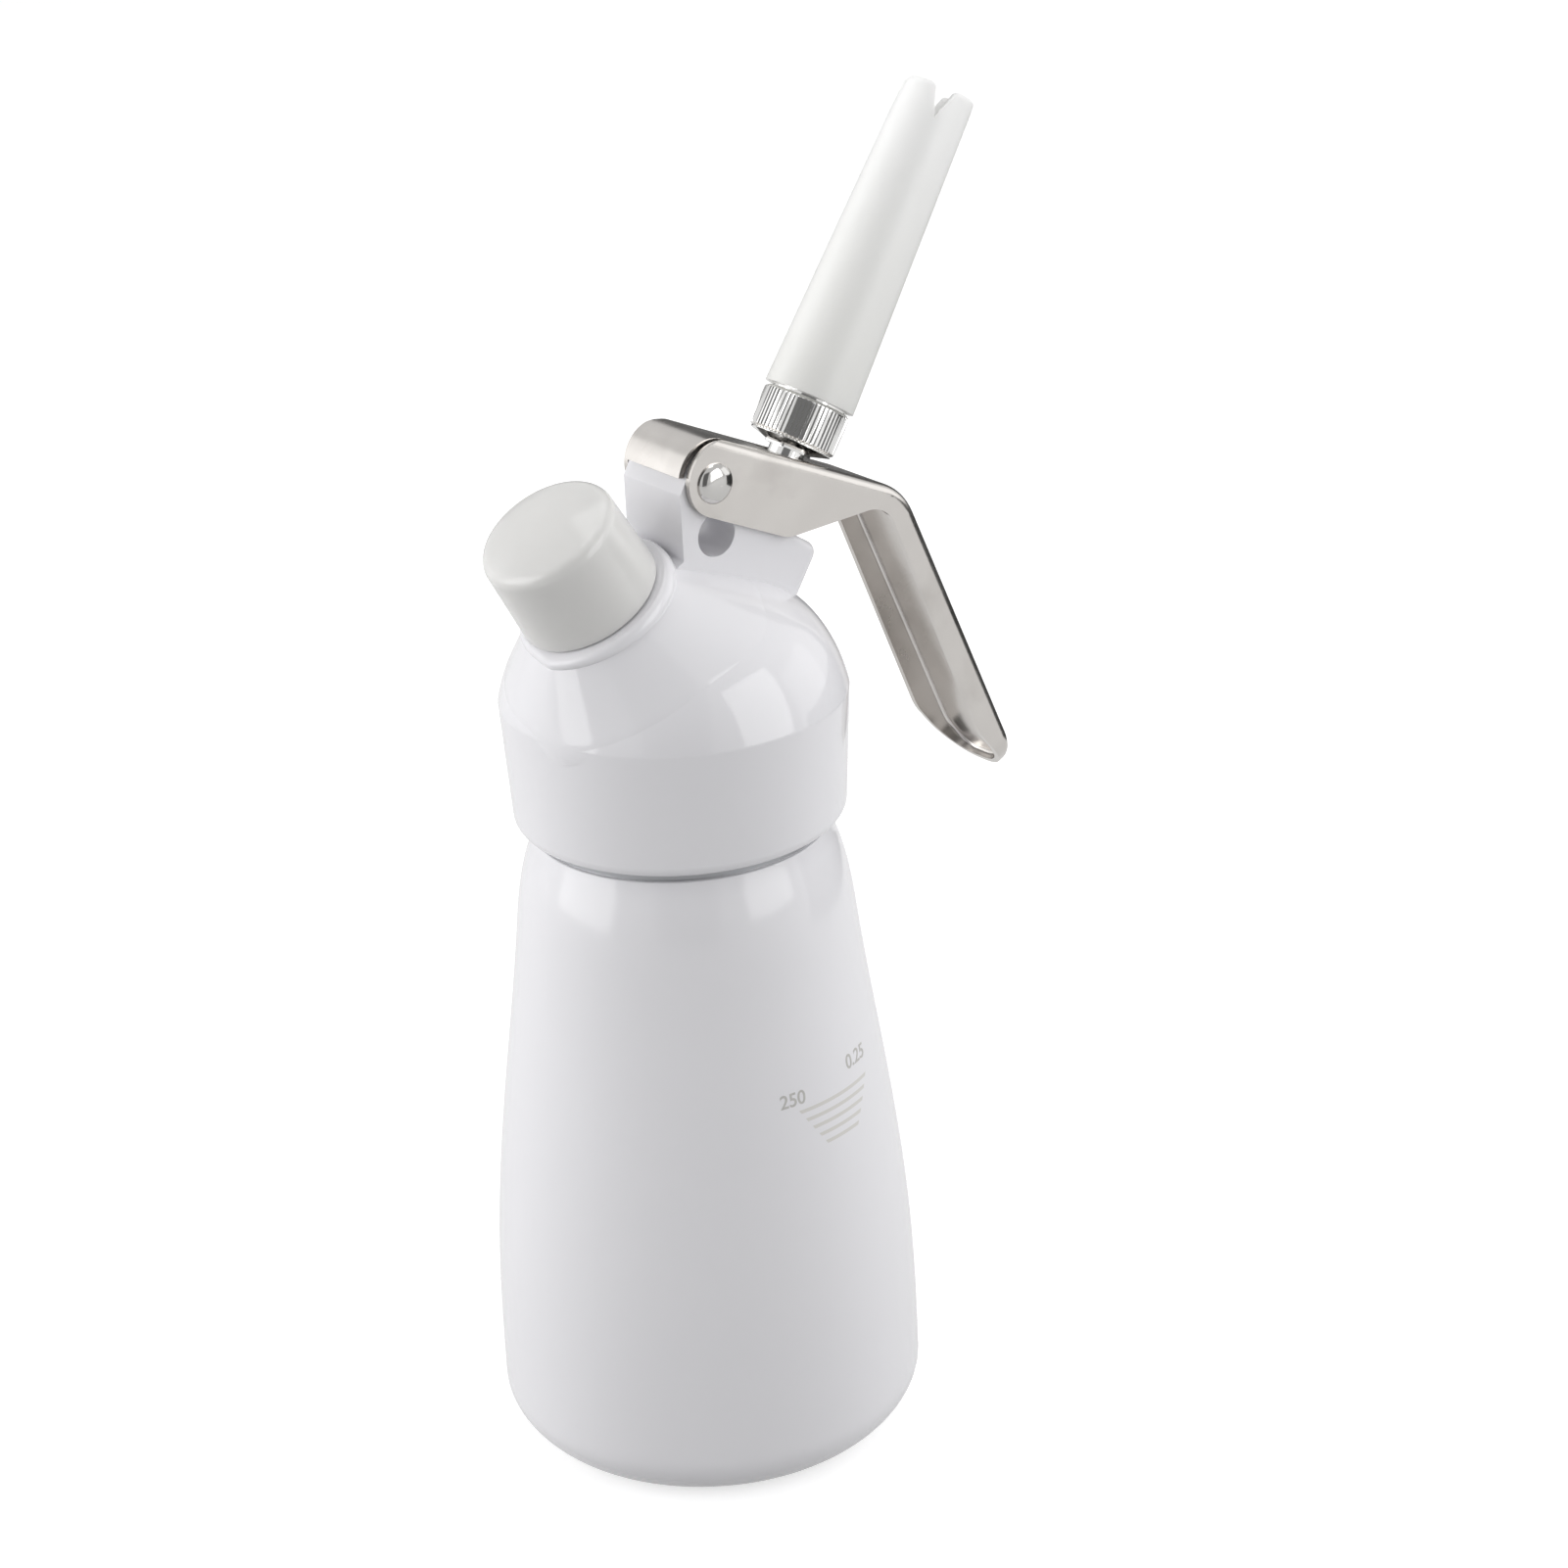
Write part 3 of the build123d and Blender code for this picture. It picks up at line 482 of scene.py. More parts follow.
dome_angles = np.linspace(math.acos((crease_height - dome_centre) / dome_radius), 0, 90)
inner_angles = np.linspace(0, math.radians(55.7), 30)
skirt_heights = np.linspace(gasket_top, rim_height + 0.8, 110)
skirt_foot = (skirt_bore + skirt_chamfer, rim_height)
dome_profile = np.vstack([
    [skirt_foot],
    outline(skirt_foot, (rim_radius, rim_height, rim_round), (crease_radius, crease_height), steps=10)[1:-1],
    np.linspace((rim_radius, rim_height), (crease_radius, crease_height), 12)[2:-1],
    [(crease_radius - 0.01, crease_height - 0.06)],
    on_centre(dome_reach(dome_angles), dome_angles),
    on_centre(dome_reach(inner_angles) - dome_wall, inner_angles),
    [(cavity_radius, gasket_top)],
    np.column_stack([np.full(110, skirt_bore), skirt_heights])])


def skirt_reach(angle, radius, height):
    """Skirt bore: roots at the bore, crests one thread depth inside it, half a pitch from the neck's."""
    in_bore = (np.abs(radius - skirt_bore) < 0.01) & (height < gasket_top - 1)
    ridge = thread_ridge(angle + math.pi, height, neck_pitch, rim_height + 1, gasket_top - 2)
    return np.where(in_bore, radius - skirt_thread_depth * ridge, radius)


dome = made("head_dome", "head", turned(dome_profile, 256, skirt_reach), columns_close=True, sharp=12)
cut_from(dome, on_valve(drill(valve_bore_in_dome, -24, 0)), on_port(drill(port_bore_in_dome, -16, 8)))
dome.data.set_sharp_from_angle(angle=math.radians(12))

port_seat = -0.2
port_bore = 9.55
port_ledge = -8
port_pocket = 6.55
collar_edge = 1.15
collar_foot = -11
collar_root_radius = 11.85
collar_widest = 14.15
collar_narrowing = 1.2
narrow_side = math.radians(146)
band_foot, band_slant, band_drop = -2.4, 0.7, 0.35
flank_lean = math.radians(32)
collar_turn = np.linspace(0, full_turn, 192, endpoint=False)[:, None]
collar_back = np.clip((np.cos(collar_turn - narrow_side) - 0.6) / 0.3, 0, 1)
collar_radius = collar_widest - collar_narrowing * collar_back ** 2 * (3 - 2 * collar_back)
collar_low = band_foot - band_slant * np.cos(collar_turn) - band_drop * collar_back

# The flank falls in a straight line from the band to where it touches the dome, and its
# last point is sunk below the dome's outside.
flank_top_radius = collar_radius - 0.15 * collar_edge
flank_angles = np.radians(np.linspace(32, 66, 500))[None, :]
port_sin = math.sin(math.radians(port_tilt))
port_cos = math.cos(math.radians(port_tilt))
polar_cosine = np.cos(flank_angles) * port_cos - np.sin(flank_angles) * np.cos(collar_turn) * port_sin
reach_there = dome_reach(np.arccos(polar_cosine))
dome_out = reach_there * np.sin(flank_angles)
dome_down = port_reach + collar_low - reach_there * np.cos(flank_angles)
touch = np.argmin(dome_down / (dome_out - flank_top_radius), axis=1)[:, None]
flank_out = np.take_along_axis(dome_out, touch, 1) - flank_top_radius
flank_down = np.take_along_axis(dome_down, touch, 1)
flank_share = np.array([[1.06, 1.0, 0.85, 0.7, 0.55, 0.4, 0.25, 0.12, 0.05, 0.02]])
sunk = np.array([[0.9, 0.02, 0, 0, 0, 0, 0, 0, 0, 0]])
edge_turn = np.linspace(-flank_lean, math.pi / 2, 12)[None, :]
edge_height = (port_seat - collar_low) / (1 + math.sin(flank_lean))
buried = outline((port_pocket, collar_foot), (collar_root_radius, collar_foot, 0.5), (collar_root_radius, -7))
seat = outline((11, port_seat), (port_bore, port_seat, 0.3),
               (port_bore, port_ledge), (port_pocket, port_ledge))
collar_radii = np.hstack([
    buried[:, 0] + 0 * collar_turn, flank_top_radius + flank_out * flank_share,
    collar_radius - collar_edge * (1 - np.cos(edge_turn)), seat[:, 0] + 0 * collar_turn])
collar_heights = np.hstack([
    buried[:, 1] + 0 * collar_turn, collar_low - flank_down * flank_share - sunk,
    port_seat - edge_height * (1 - np.sin(edge_turn)), seat[:, 1] + 0 * collar_turn])
port_collar = made("port_collar", "head", on_port(np.stack([
    collar_radii * np.cos(collar_turn), collar_radii * np.sin(collar_turn), collar_heights], -1)),
    columns_close=True, sharp=50)

fin_half_width = 7.35
fin_edge = 0.45
pivot_x = 4.1
pivot_z = 170.3
tower_radius = 4.8
fin_front = -2.0
ledge_back = (-9.0, 154.46)
ledge_foot = 152.8
pin_bore = 2.05
cast_hole = (3.7, 4.8, 161.3)
far_corner_round = 1.6
fin_root = 1.6
stem_bore = 3.55
spring_pocket = (5.15, -7, 3)
valve_sin = math.sin(math.radians(valve_tilt))
valve_cos = math.cos(math.radians(valve_tilt))
near_reach, far_reach, boss_depth = 7.3, 8.6, 9.3
boss_near = (valve_x - near_reach * valve_cos, valve_z + near_reach * valve_sin)
boss_far = (valve_x + far_reach * valve_cos, valve_z - far_reach * valve_sin)
boss_foot = (boss_far[0] - boss_depth * valve_sin, boss_far[1] - boss_depth * valve_cos)
tower_angles = np.radians(np.linspace(-valve_tilt, 150, 28))
in_wall = np.linspace(math.atan2(ledge_back[0], ledge_foot - dome_centre),
                      math.atan2(boss_foot[0], boss_foot[1] - dome_centre), 24)
fin_side = np.vstack([
    outline(boss_foot, (*boss_far, 2.0), boss_near, steps=8),
    np.column_stack([pivot_x + tower_radius * np.cos(tower_angles),
                     pivot_z + tower_radius * np.sin(tower_angles)]),
    outline((-0.057, 172.7), (fin_front, 169.5, 0.6), (fin_front, 158.5, 0.5), ledge_back)[1:],
    on_centre(dome_reach(in_wall) - fin_root, in_wall)[:-1]])


def rounded_slab(name, side, half_width, end_round):
    """Slab with the given side view: the outline carried across joins its two flat sides, and its far
    corner is rounded."""
    count = len(side)
    across = np.repeat(np.array([[-half_width, half_width]]), count, 0)
    points = np.stack([np.repeat(side[:, :1], 2, 1), across, np.repeat(side[:, 1:], 2, 1)], -1)
    mesh = bpy.data.meshes.new(name)
    ring = np.arange(count)
    walls = np.stack([ring * 2, ring * 2 + 1, np.roll(ring, -1) * 2 + 1, np.roll(ring, -1) * 2], -1)
    mesh.from_pydata((points.reshape(-1, 3) * mm).tolist(), [],
                     walls.tolist() + [(ring[::-1] * 2 + 1).tolist(), (ring * 2).tolist()])
    work = bmesh.new()
    work.from_mesh(mesh)
    bmesh.ops.recalc_face_normals(work, faces=work.faces)
    far_corner = Vector(boss_far) * mm
    far_edges = [edge for edge in work.edges
                 if abs(edge.verts[0].co.y - edge.verts[1].co.y) < 1e-6
                 and sum((end.co.xz - far_corner).length for end in edge.verts) < 12 * mm]
    bmesh.ops.bevel(work, geom=far_edges, offset=end_round * mm, segments=8, profile=0.5, affect="EDGES")
    work.to_mesh(mesh)
    work.free()
    return shaded(mesh, name, "head", 25)


def across_fin(radius, x, z):
    """Closed cylinder right through the fin."""
    hole = drill(radius, -9, 9, 64)
    return np.stack([hole[..., 0] + x, -hole[..., 2], hole[..., 1] + z], -1)


fin = rounded_slab("head_fin", fin_side, fin_half_width, far_corner_round)
cut_from(fin, across_fin(pin_bore, pivot_x, pivot_z), across_fin(*cast_hole),
         on_valve(drill(*spring_pocket)), on_valve(drill(stem_bore, -20, -6)))
soft_edge = fin.modifiers.new("cast edge", "BEVEL")
soft_edge.width = fin_edge * mm
soft_edge.segments = 3
soft_edge.limit_method = "ANGLE"
soft_edge.angle_limit = math.radians(40)
soft_edge.harden_normals = False
fin.modifiers.move(len(fin.modifiers) - 1, 0)

tube_radius, tube_bore, tube_foot, tube_top = 7.3, 5.2, -24, -7.4
ring_groove, seal_pocket, seal_seat = 4.3, 4.6, 4.1
valve_tube = made("valve_tube", "head", on_valve(turned(outline(
    (tube_bore, tube_foot), (tube_radius, tube_foot, 0.5), (tube_radius, tube_top), (stem_bore, tube_top),
    (stem_bore, -8.6), (ring_groove, -9.0), (ring_groove, -10.0), (stem_bore, -10.4), (stem_bore, -11),
    (seal_pocket, -12), (seal_pocket, -13.4), (seal_seat, -13.4), (seal_seat, -14), (tube_bore, -14)),
    96)), columns_close=True)

head_finish, head_colour, head_wear = enamel("head enamel")
head_finish.feed("Base Color", head_colour)
head_finish.feed("Roughness", 0.07 + 0.06 * head_wear)
head_finish.on(dome, port_collar, fin, valve_tube)
for piece in (dome, port_collar, fin, valve_tube):
    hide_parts("head_shell")

# ---------------------------------------------------------------- charging port
# Turned brass body screwed up through the collar with a nut inside the dome. It holds the
# rubber seal, the steel piercing pin and the rubber sleeve of the check valve.
brass = Finish("turned brass", Metallic=1.0)
brass.feed("Base Color", brass.blend(brass.noise(120, 3), (0.66, 0.48, 0.22, 1), (0.78, 0.60, 0.32, 1)))
port_lean = (0, math.radians(port_tilt), 0)
brass.feed("Roughness", 0.22 + 0.16 * brass.noise(900, 3, (6, 6, 1), port_lean))
brass.relief(brass.noise(2600, 2, (30, 30, 1), port_lean), 0.004, 0.5)

port_pitch = 1.5
port_thread = (0.6, 8.9)
port_thread_depth = 0.5
port_radius = 9.5
port_foot, port_top = -17.5, 9.5
tail_radius, tail_top, shank_radius = 3.6, -13.4, 6.5
socket_radius, socket_floor = 5.2, 3.5
gas_way_radius, gas_way_end = 1.3, -16


def port_thread_reach(angle, radius, height):
    """Port thread: crests level with the body, roots one thread depth under it."""
    on_thread = (np.abs(radius - port_radius) < 0.01) & (height > port_thread[0]) & (height < port_thread[1])
    ridge = thread_ridge(angle, height, port_pitch, *port_thread)
    return np.where(on_thread, port_radius - port_thread_depth * (1 - ridge), radius)


port_body = made("port_body", "head", on_port(turned(np.vstack([
    [(0, port_foot)],
    outline((0, port_foot), (tail_radius, port_foot, 0.3), (tail_radius, tail_top),
            (shank_radius, tail_top, 0.3), (shank_radius, port_ledge),
            (port_radius, port_ledge), (port_radius, 0.5))[1:],
    np.column_stack([np.full(70, port_radius), np.linspace(0.55, port_thread[1], 70)]),
    outline((port_radius, port_thread[1]), (8.9, port_top), (socket_radius, port_top, 0.3),
            (socket_radius, socket_floor), (gas_way_radius, socket_floor), (gas_way_radius, gas_way_end))[1:],
    [(0, gas_way_end)]]), 128, port_thread_reach)))
brass.on(port_body, "port_nut", "valve_cage")
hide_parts("charging_valve_body")

rubber = Finish("black rubber", IOR=1.5)
rubber.feed("Base Color", rubber.blend(
    rubber.noise(200, 3), (0.018, 0.018, 0.019, 1), (0.035, 0.034, 0.034, 1)))
rubber.feed("Roughness", 0.48 + 0.2 * rubber.noise(700, 3))
rubber.relief(rubber.noise(3500, 2), 0.01, 0.5)
rubber.on("charger_seal", "check_sleeve", "valve_seal", "stem_o_ring")

turned_steel = Finish("turned steel", Metallic=1.0)
turned_steel.feed("Base Color", turned_steel.blend(
    turned_steel.noise(150, 3), (0.55, 0.54, 0.53, 1), (0.66, 0.65, 0.64, 1)))
stem_lean = (0, math.radians(valve_tilt), 0)
turned_steel.feed("Roughness", 0.2 + 0.15 * turned_steel.noise(900, 3, (6, 6, 1), stem_lean))
turned_steel.relief(turned_steel.noise(2600, 2, (30, 30, 1), stem_lean), 0.003, 0.5)
turned_steel.on("piercing_pin", "valve_stem", "spring_seat", "push_washer")

# ---------------------------------------------------------------- port cap
# A moulded cap of milky plastic, screwed over the port's thread, with a silicone disc
# pressed into its top.
def plastic(name, depth, gloss, waviness, **settings):
    """Moulded milky plastic that light enters to a depth in metres, slightly wavy, with gloss that
    handling has dulled in places. Gives the finish and its clouds."""
    finish = Finish(name, IOR=1.5, Subsurface_Scale=depth, Subsurface_Radius=(1, 1, 1), **settings)
    finish.feed("Roughness", gloss[0] + gloss[1] * finish.noise(150, 4))
    finish.relief(finish.noise(900, 3), 0.01, waviness)
    return finish, finish.noise(30, 3)


cap_finish, cap_clouds = plastic("milky plastic", 0.005, (0.09, 0.09), 0.2, Subsurface_Weight=0.5)
cap_finish.feed("Base Color", cap_finish.blend(cap_clouds, (0.68, 0.675, 0.66, 1), (0.73, 0.725, 0.71, 1)))

cap_bore = 9.8
cap_foot_radius, cap_rim_radius = 11.94, 11.46
cap_rim = 15.15
cap_rim_round = 2.1
cap_ceiling = 13.9
cap_thread = (0.7, 8.8)
cap_thread_depth = 0.45
crown_rise = 1.0
crown_radii = np.linspace(9.3, 0, 24)
crown_foot = cap_rim + (cap_rim_radius - crown_radii[0]) * 2 * crown_rise / crown_radii[0]


def cap_reach(angle, radius, height):
    """Cap bore: thread crests one thread depth inside the bore, half a pitch from the port's."""
    in_bore = (np.abs(radius - cap_bore) < 0.01) & (height > cap_thread[0]) & (height < cap_thread[1])
    ridge = thread_ridge(angle + math.pi, height, port_pitch, *cap_thread)
    return np.where(in_bore, radius - cap_thread_depth * ridge, radius)


port_cap = made("port_cap_shell", "cap", on_port(turned(np.vstack([
    outline((10.2, 0), (cap_foot_radius, 0, 0.35), (cap_rim_radius, cap_rim, cap_rim_round),
            (crown_radii[0], crown_foot), steps=12)[:-1],
    np.column_stack([crown_radii, crown_foot + crown_rise * (1 - (crown_radii / crown_radii[0]) ** 2)]),
    outline((0, cap_ceiling), (cap_bore, cap_ceiling), (cap_bore, 9.0)),
    np.column_stack([np.full(60, cap_bore), np.linspace(8.9, 0.6, 60)])]),
    192, cap_reach)), columns_close=True)
cap_finish.on(port_cap)
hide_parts("port_cap")
silicone.on("cap_liner", "nozzle_seal")

# ---------------------------------------------------------------- valve spring
# Music-wire spring round the stem. It stands in the pocket of the valve boss and lifts the
# stem by its push washer.
spring_steel = Finish("spring steel", Metallic=1.0)
spring_steel.feed("Base Color", spring_steel.blend(
    spring_steel.noise(300, 2), (0.42, 0.42, 0.43, 1), (0.55, 0.55, 0.55, 1)))
spring_steel.feed("Roughness", 0.24 + 0.12 * spring_steel.noise(1200, 3))
spring_low, spring_high = -6.05, 8.62
spring_turns = 7
spring_radius, wire_radius = 4.35, 0.45


def coil(radius, wire, low, high, turns, steps=420, sides=10):
    """Round wire carried along a helix: each ring lies across the helix's own direction."""
    part = np.linspace(0, 1, steps)[:, None]
    angle = full_turn * turns * part
    side = np.linspace(0, full_turn, sides, endpoint=False)[None, :]
    climb = math.atan2(high - low, full_turn * turns * radius)
    out, up = wire * np.cos(side), wire * np.sin(side)
    along = -up * math.sin(climb)
    return np.stack([(radius + out) * np.cos(angle) - along * np.sin(angle),
                     (radius + out) * np.sin(angle) + along * np.cos(angle),
                     low + (high - low) * part + up * math.cos(climb)], -1)


wire = coil(spring_radius, wire_radius, spring_low, spring_high, spring_turns)
ends = [np.repeat(wire[end].mean(0)[None, None], 10, 1) for end in (0, -1)]
spring = made("spring_coil", None, on_valve(np.concatenate([ends[0], wire, ends[1]]).transpose(1, 0, 2)))
spring_steel.on(spring)
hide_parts("valve_spring")
spring_ends = on_valve(np.array([(0, 0, spring_low), (0, 0, spring_high)], float)) * mm
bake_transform(spring)

# ---------------------------------------------------------------- stem adapter
# Chromed brass: a short hexagon above the lever, a cone, and the thread that the nozzle's
# ferrule screws on. It is fixed on the stem for good.
chrome = Finish("bright chrome", Metallic=1.0)
chrome.feed("Base Color", chrome.blend(chrome.noise(60, 3), (0.86, 0.855, 0.84, 1), (0.93, 0.925, 0.915, 1)))
chrome.feed("Roughness", 0.05 + 0.08 * chrome.noise(220, 5))
chrome.relief(chrome.noise(500, 2), 0.003, 0.3)

hex_flat = 3.6
hex_corner = 1.12
hex_foot, hex_top, cone_top, adapter_top = 12.375, 12.75, 13.75, 19.15
cone_radius, adapter_neck = 7.0, 3.0
stem_socket, socket_foot, socket_top = 2.5, 10.3, 14.0
adapter_radius, adapter_bore = 4.7, 1.7
adapter_thread = (14.2, 18.9)
adapter_thread_depth = 0.35
adapter_pitch = 1.0


def hexagonal(angle, radius, height):
    """Radius out to a hexagon's flats between its foot and top, and to a circle elsewhere."""
    turn_in_flat = (angle + math.pi / 6) % (math.pi / 3) - math.pi / 6
    on_hex = (height > hex_foot - 0.01) & (height < hex_top + 0.01) & (radius > adapter_neck + 0.3)
    return np.where(on_hex, np.minimum(radius / np.cos(turn_in_flat), hex_flat * hex_corner), radius)


def adapter_reach(angle, radius, height):
    """The hexagon, and above it a thread: crests level with the adapter, roots one thread depth under it."""
    radius = hexagonal(angle, radius, height)
    on_thread = (np.abs(radius - adapter_radius) < 0.01) & (height > adapter_thread[0])
    ridge = thread_ridge(angle, height, adapter_pitch, *adapter_thread)
    return np.where(on_thread, adapter_radius - adapter_thread_depth * (1 - ridge), radius)


adapter = made("adapter", "valve", on_valve(turned(np.vstack([
    outline((stem_socket, socket_foot), (adapter_neck, socket_foot), (adapter_neck, hex_foot),
            (hex_flat, hex_foot), (hex_flat, hex_top), (cone_radius, cone_top - 0.1), (cone_radius, cone_top),
            (adapter_radius, cone_top)),
    np.column_stack([np.full(40, adapter_radius), np.linspace(cone_top + 0.3, adapter_top - 0.3, 40)]),
    outline((4.4, adapter_top), (adapter_bore, adapter_top), (adapter_bore, socket_top),
            (stem_socket, socket_top))]),
    144, adapter_reach)), columns_close=True, sharp=20)
chrome.on(adapter)
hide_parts("stem_adapter")

# ---------------------------------------------------------------- nozzle ferrule
# Chromed brass ring with a fine straight knurl, pressed on the nozzle's spigot. It screws
# on the adapter's thread.
ferrule_radius = 7.4
knurl_teeth = 60
knurl_depth = 0.22
ferrule_foot, ferrule_top, groove_foot = 13.75, 21.5, 21.05
ferrule_bore, ferrule_neck, spigot_bore = 4.8, 6.3, 5.9
ferrule_ledge = 19.95


def knurled(angle, radius, height):
    """Straight knurl: flat lands between V grooves round the outside, run out at both chamfers."""
    wave = np.clip(2 * np.abs((angle * knurl_teeth / full_turn) % 1 * 2 - 1) - 1, 0, 1)
    on_knurl = (radius > ferrule_radius - 0.1) & (height < groove_foot)
    return np.where(on_knurl, radius - knurl_depth * wave, radius)


ferrule = made("ferrule", "nozzle", on_valve(turned(outline(
    (ferrule_bore, ferrule_foot), (6.7, ferrule_foot, 0.2), (ferrule_radius - 0.05, ferrule_foot + 0.5),
    (ferrule_radius, ferrule_foot + 0.75), (ferrule_radius, groove_foot - 0.7),
    (ferrule_radius - 0.05, groove_foot - 0.45), (6.8, groove_foot, 0.2), (ferrule_neck, groove_foot),
    (ferrule_neck, ferrule_top), (spigot_bore, ferrule_top), (spigot_bore, ferrule_ledge),
    (ferrule_bore, ferrule_ledge)), 480, knurled)), columns_close=True, sharp=24)
chrome.on(ferrule)
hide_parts("nozzle_ferrule")

# ---------------------------------------------------------------- decorating nozzle
# Moulded tube of the same milky plastic, tapering to four lobes between V slots. Its
# colour is a lighter copy of the cap's plastic, painted paler still towards the tip as
# painted light. Its spigot is fixed in the ferrule.
nozzle_foot, nozzle_tip = 21.5, 75.5
nozzle_foot_radius, nozzle_tip_radius = 7.72, 6.05
nozzle_bore, nozzle_tip_bore = 3.7, 4.7
bore_step = 13.5
spigot_radius = 5.88
notch_depth, notch_half_angle, notch_round, notch_turn = 5.2, 21.0, 1.0, 56.0

flare = notch_depth * math.tan(math.radians(notch_half_angle))
slot_line = outline((0, -notch_depth, 0.0001), (flare, 0, notch_round), (4.6, 0), steps=8)
slot_line = np.vstack([(0, -notch_depth), slot_line[slot_line[:, 1] > -notch_depth + 0.01]])
lobe_half_width = nozzle_tip_radius * math.sin(math.radians(45))
slot_across = np.concatenate([np.linspace(0, flare, 14), np.linspace(flare, lobe_half_width, 12)[1:]])
slot_drop = np.interp(slot_across, slot_line[:, 0], slot_line[:, 1])
slot_angle = np.degrees(np.arcsin(slot_across / nozzle_tip_radius))
lobe_angles = np.concatenate([-slot_angle[:0:-1], slot_angle[:-1]])
lobe_drops = np.concatenate([slot_drop[:0:-1], slot_drop[:-1]])
rim_angles = np.radians(np.concatenate([lobe_angles + notch_turn + 90 * lobe for lobe in range(4)]))
rim_drops = np.tile(lobe_drops, 4)

low_zone = nozzle_tip - notch_depth - 2
outer_low = np.linspace(nozzle_foot, low_zone, 24)
inner_low = np.linspace(low_zone, ferrule_ledge, 24)
rim_count = len(rim_angles)
rim_edge = 0.25
top = (nozzle_tip + rim_drops)[:, None]
lobe_height = top - rim_edge - low_zone
share = np.linspace(0, 1, 16)[None, 1:]
outer_heights = np.hstack([np.repeat(outer_low[None], rim_count, 0), low_zone + lobe_height * share])
inner_heights = np.hstack([low_zone + lobe_height * (1 - share),
                           np.repeat(inner_low[None, 1:], rim_count, 0)])


def nozzle_outer(height):
    """Outside radius: a straight taper from foot to tip."""
    taper = (nozzle_tip_radius - nozzle_foot_radius) / (nozzle_tip - nozzle_foot)
    return nozzle_foot_radius + taper * (height - nozzle_foot)


def nozzle_inner(height):
    """Bore radius: straight up to the step, then a slow flare to the tip."""
    return np.interp(height, (nozzle_foot, nozzle_foot + bore_step, nozzle_tip),
                     (nozzle_bore, nozzle_bore, nozzle_tip_bore))


lip_heights = top + np.array([[-0.09, 0, 0, -0.09]])
lip_radii = np.hstack([nozzle_outer(top) - 0.06, nozzle_outer(top) - rim_edge,
                       nozzle_inner(top) + rim_edge, nozzle_inner(top) + 0.06])
spigot = np.array([(nozzle_bore, ferrule_ledge), (spigot_radius, ferrule_ledge),
                   (spigot_radius, nozzle_foot - 0.05), (spigot_radius, nozzle_foot)])
spigot_radii, spigot_heights = (np.repeat(spigot[None, :, axis], rim_count, 0) for axis in (0, 1))
nozzle_heights = np.hstack([spigot_heights, outer_heights, lip_heights, inner_heights])
nozzle_radii = np.hstack([spigot_radii, nozzle_outer(outer_heights), lip_radii, nozzle_inner(inner_heights)])
nozzle = made("nozzle_tube", "nozzle", on_valve(np.stack([
    nozzle_radii * np.cos(rim_angles)[:, None], nozzle_radii * np.sin(rim_angles)[:, None],
    nozzle_heights], -1)), columns_close=True, sharp=40)

nozzle_finish, nozzle_clouds = plastic("nozzle plastic", 0.004, (0.28, 0.12), 0.3, Subsurface_Weight=0.45)
nozzle_place = nozzle_finish.node("ShaderNodeSeparateXYZ", {}, {"Vector": nozzle_finish.place()})
nozzle_x, nozzle_z = (Reading(nozzle_finish, nozzle_place.socket.node.outputs[axis]) for axis in "XZ")
up_nozzle = (nozzle_x - valve_x * mm) * valve_sin + (nozzle_z - valve_z * mm) * valve_cos
# Painted light: the colour runs from a darker foot to a much paler tip along the nozzle's axis.
painted_light_towards_tip = nozzle_finish.node("ShaderNodeClamp", {}, {
    "Value": (up_nozzle / mm - nozzle_foot) / (nozzle_tip - nozzle_foot)})
nozzle_finish.feed("Base Color", nozzle_finish.blend(
    painted_light_towards_tip, nozzle_finish.blend(nozzle_clouds, (0.75, 0.75, 0.725, 1), (0.81, 0.81, 0.79, 1)),
    nozzle_finish.blend(nozzle_clouds, (0.95, 0.95, 0.935, 1), (0.985, 0.985, 0.975, 1))))
nozzle_finish.on(nozzle)
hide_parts("decorator_nozzle")

# ---------------------------------------------------------------- lever and hinge pin
# The lever is one pressed stainless sheet, polished: lip, ears, plate and grooved handle.
# A chromed pin with domed heads carries it.
polished = Finish("polished steel", Metallic=1.0)
grain_turn = (0, math.radians(60), 0)
smear = polished.noise(150, 6, (1, 1, 2), grain_turn)
stain = polished.node("ShaderNodeClamp", {}, {"Value": (polished.noise(75, 5) - 0.5) * 3})
steel_colour = polished.blend(smear, (0.60, 0.575, 0.55, 1), (0.69, 0.665, 0.64, 1))
polished.feed("Base Color", polished.blend(stain, steel_colour, (0.50, 0.475, 0.45, 1)))
polished.feed("Roughness", 0.13 + 0.16 * smear + 0.12 * stain)
polished.relief(polished.noise(260, 3) + 0.08 * polished.noise(2200, 2), 0.012, 0.5)


def pressed_copy(node, name, body, edge):
    """Copy of a solid's node with its triangles merged into one skin and its crisp edges rounded."""
    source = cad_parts[node]
    work = bmesh.new()
    work.from_mesh(source.data)
    work.transform(source.matrix_world)
    bmesh.ops.remove_doubles(work, verts=work.verts, dist=0.001 * mm)
    bmesh.ops.dissolve_limit(work, angle_limit=math.radians(0.3), verts=work.verts, edges=work.edges)
    mesh = bpy.data.meshes.new(name)
    work.to_mesh(mesh)
    work.free()
    if "custom_normal" in mesh.attributes:
        mesh.attributes.remove(mesh.attributes["custom_normal"])
    piece = shaded(mesh, name, body, 40)
    rounded = piece.modifiers.new("rounded edges", "BEVEL")
    rounded.width = edge * mm
    rounded.segments = 2
    rounded.limit_method = "ANGLE"
    rounded.angle_limit = math.radians(50)
    piece.modifiers.move(1, 0)
    return piece


lever = pressed_copy("lever", "pressed_lever", "lever_arm", 0.18)
polished.on(lever)
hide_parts("lever")

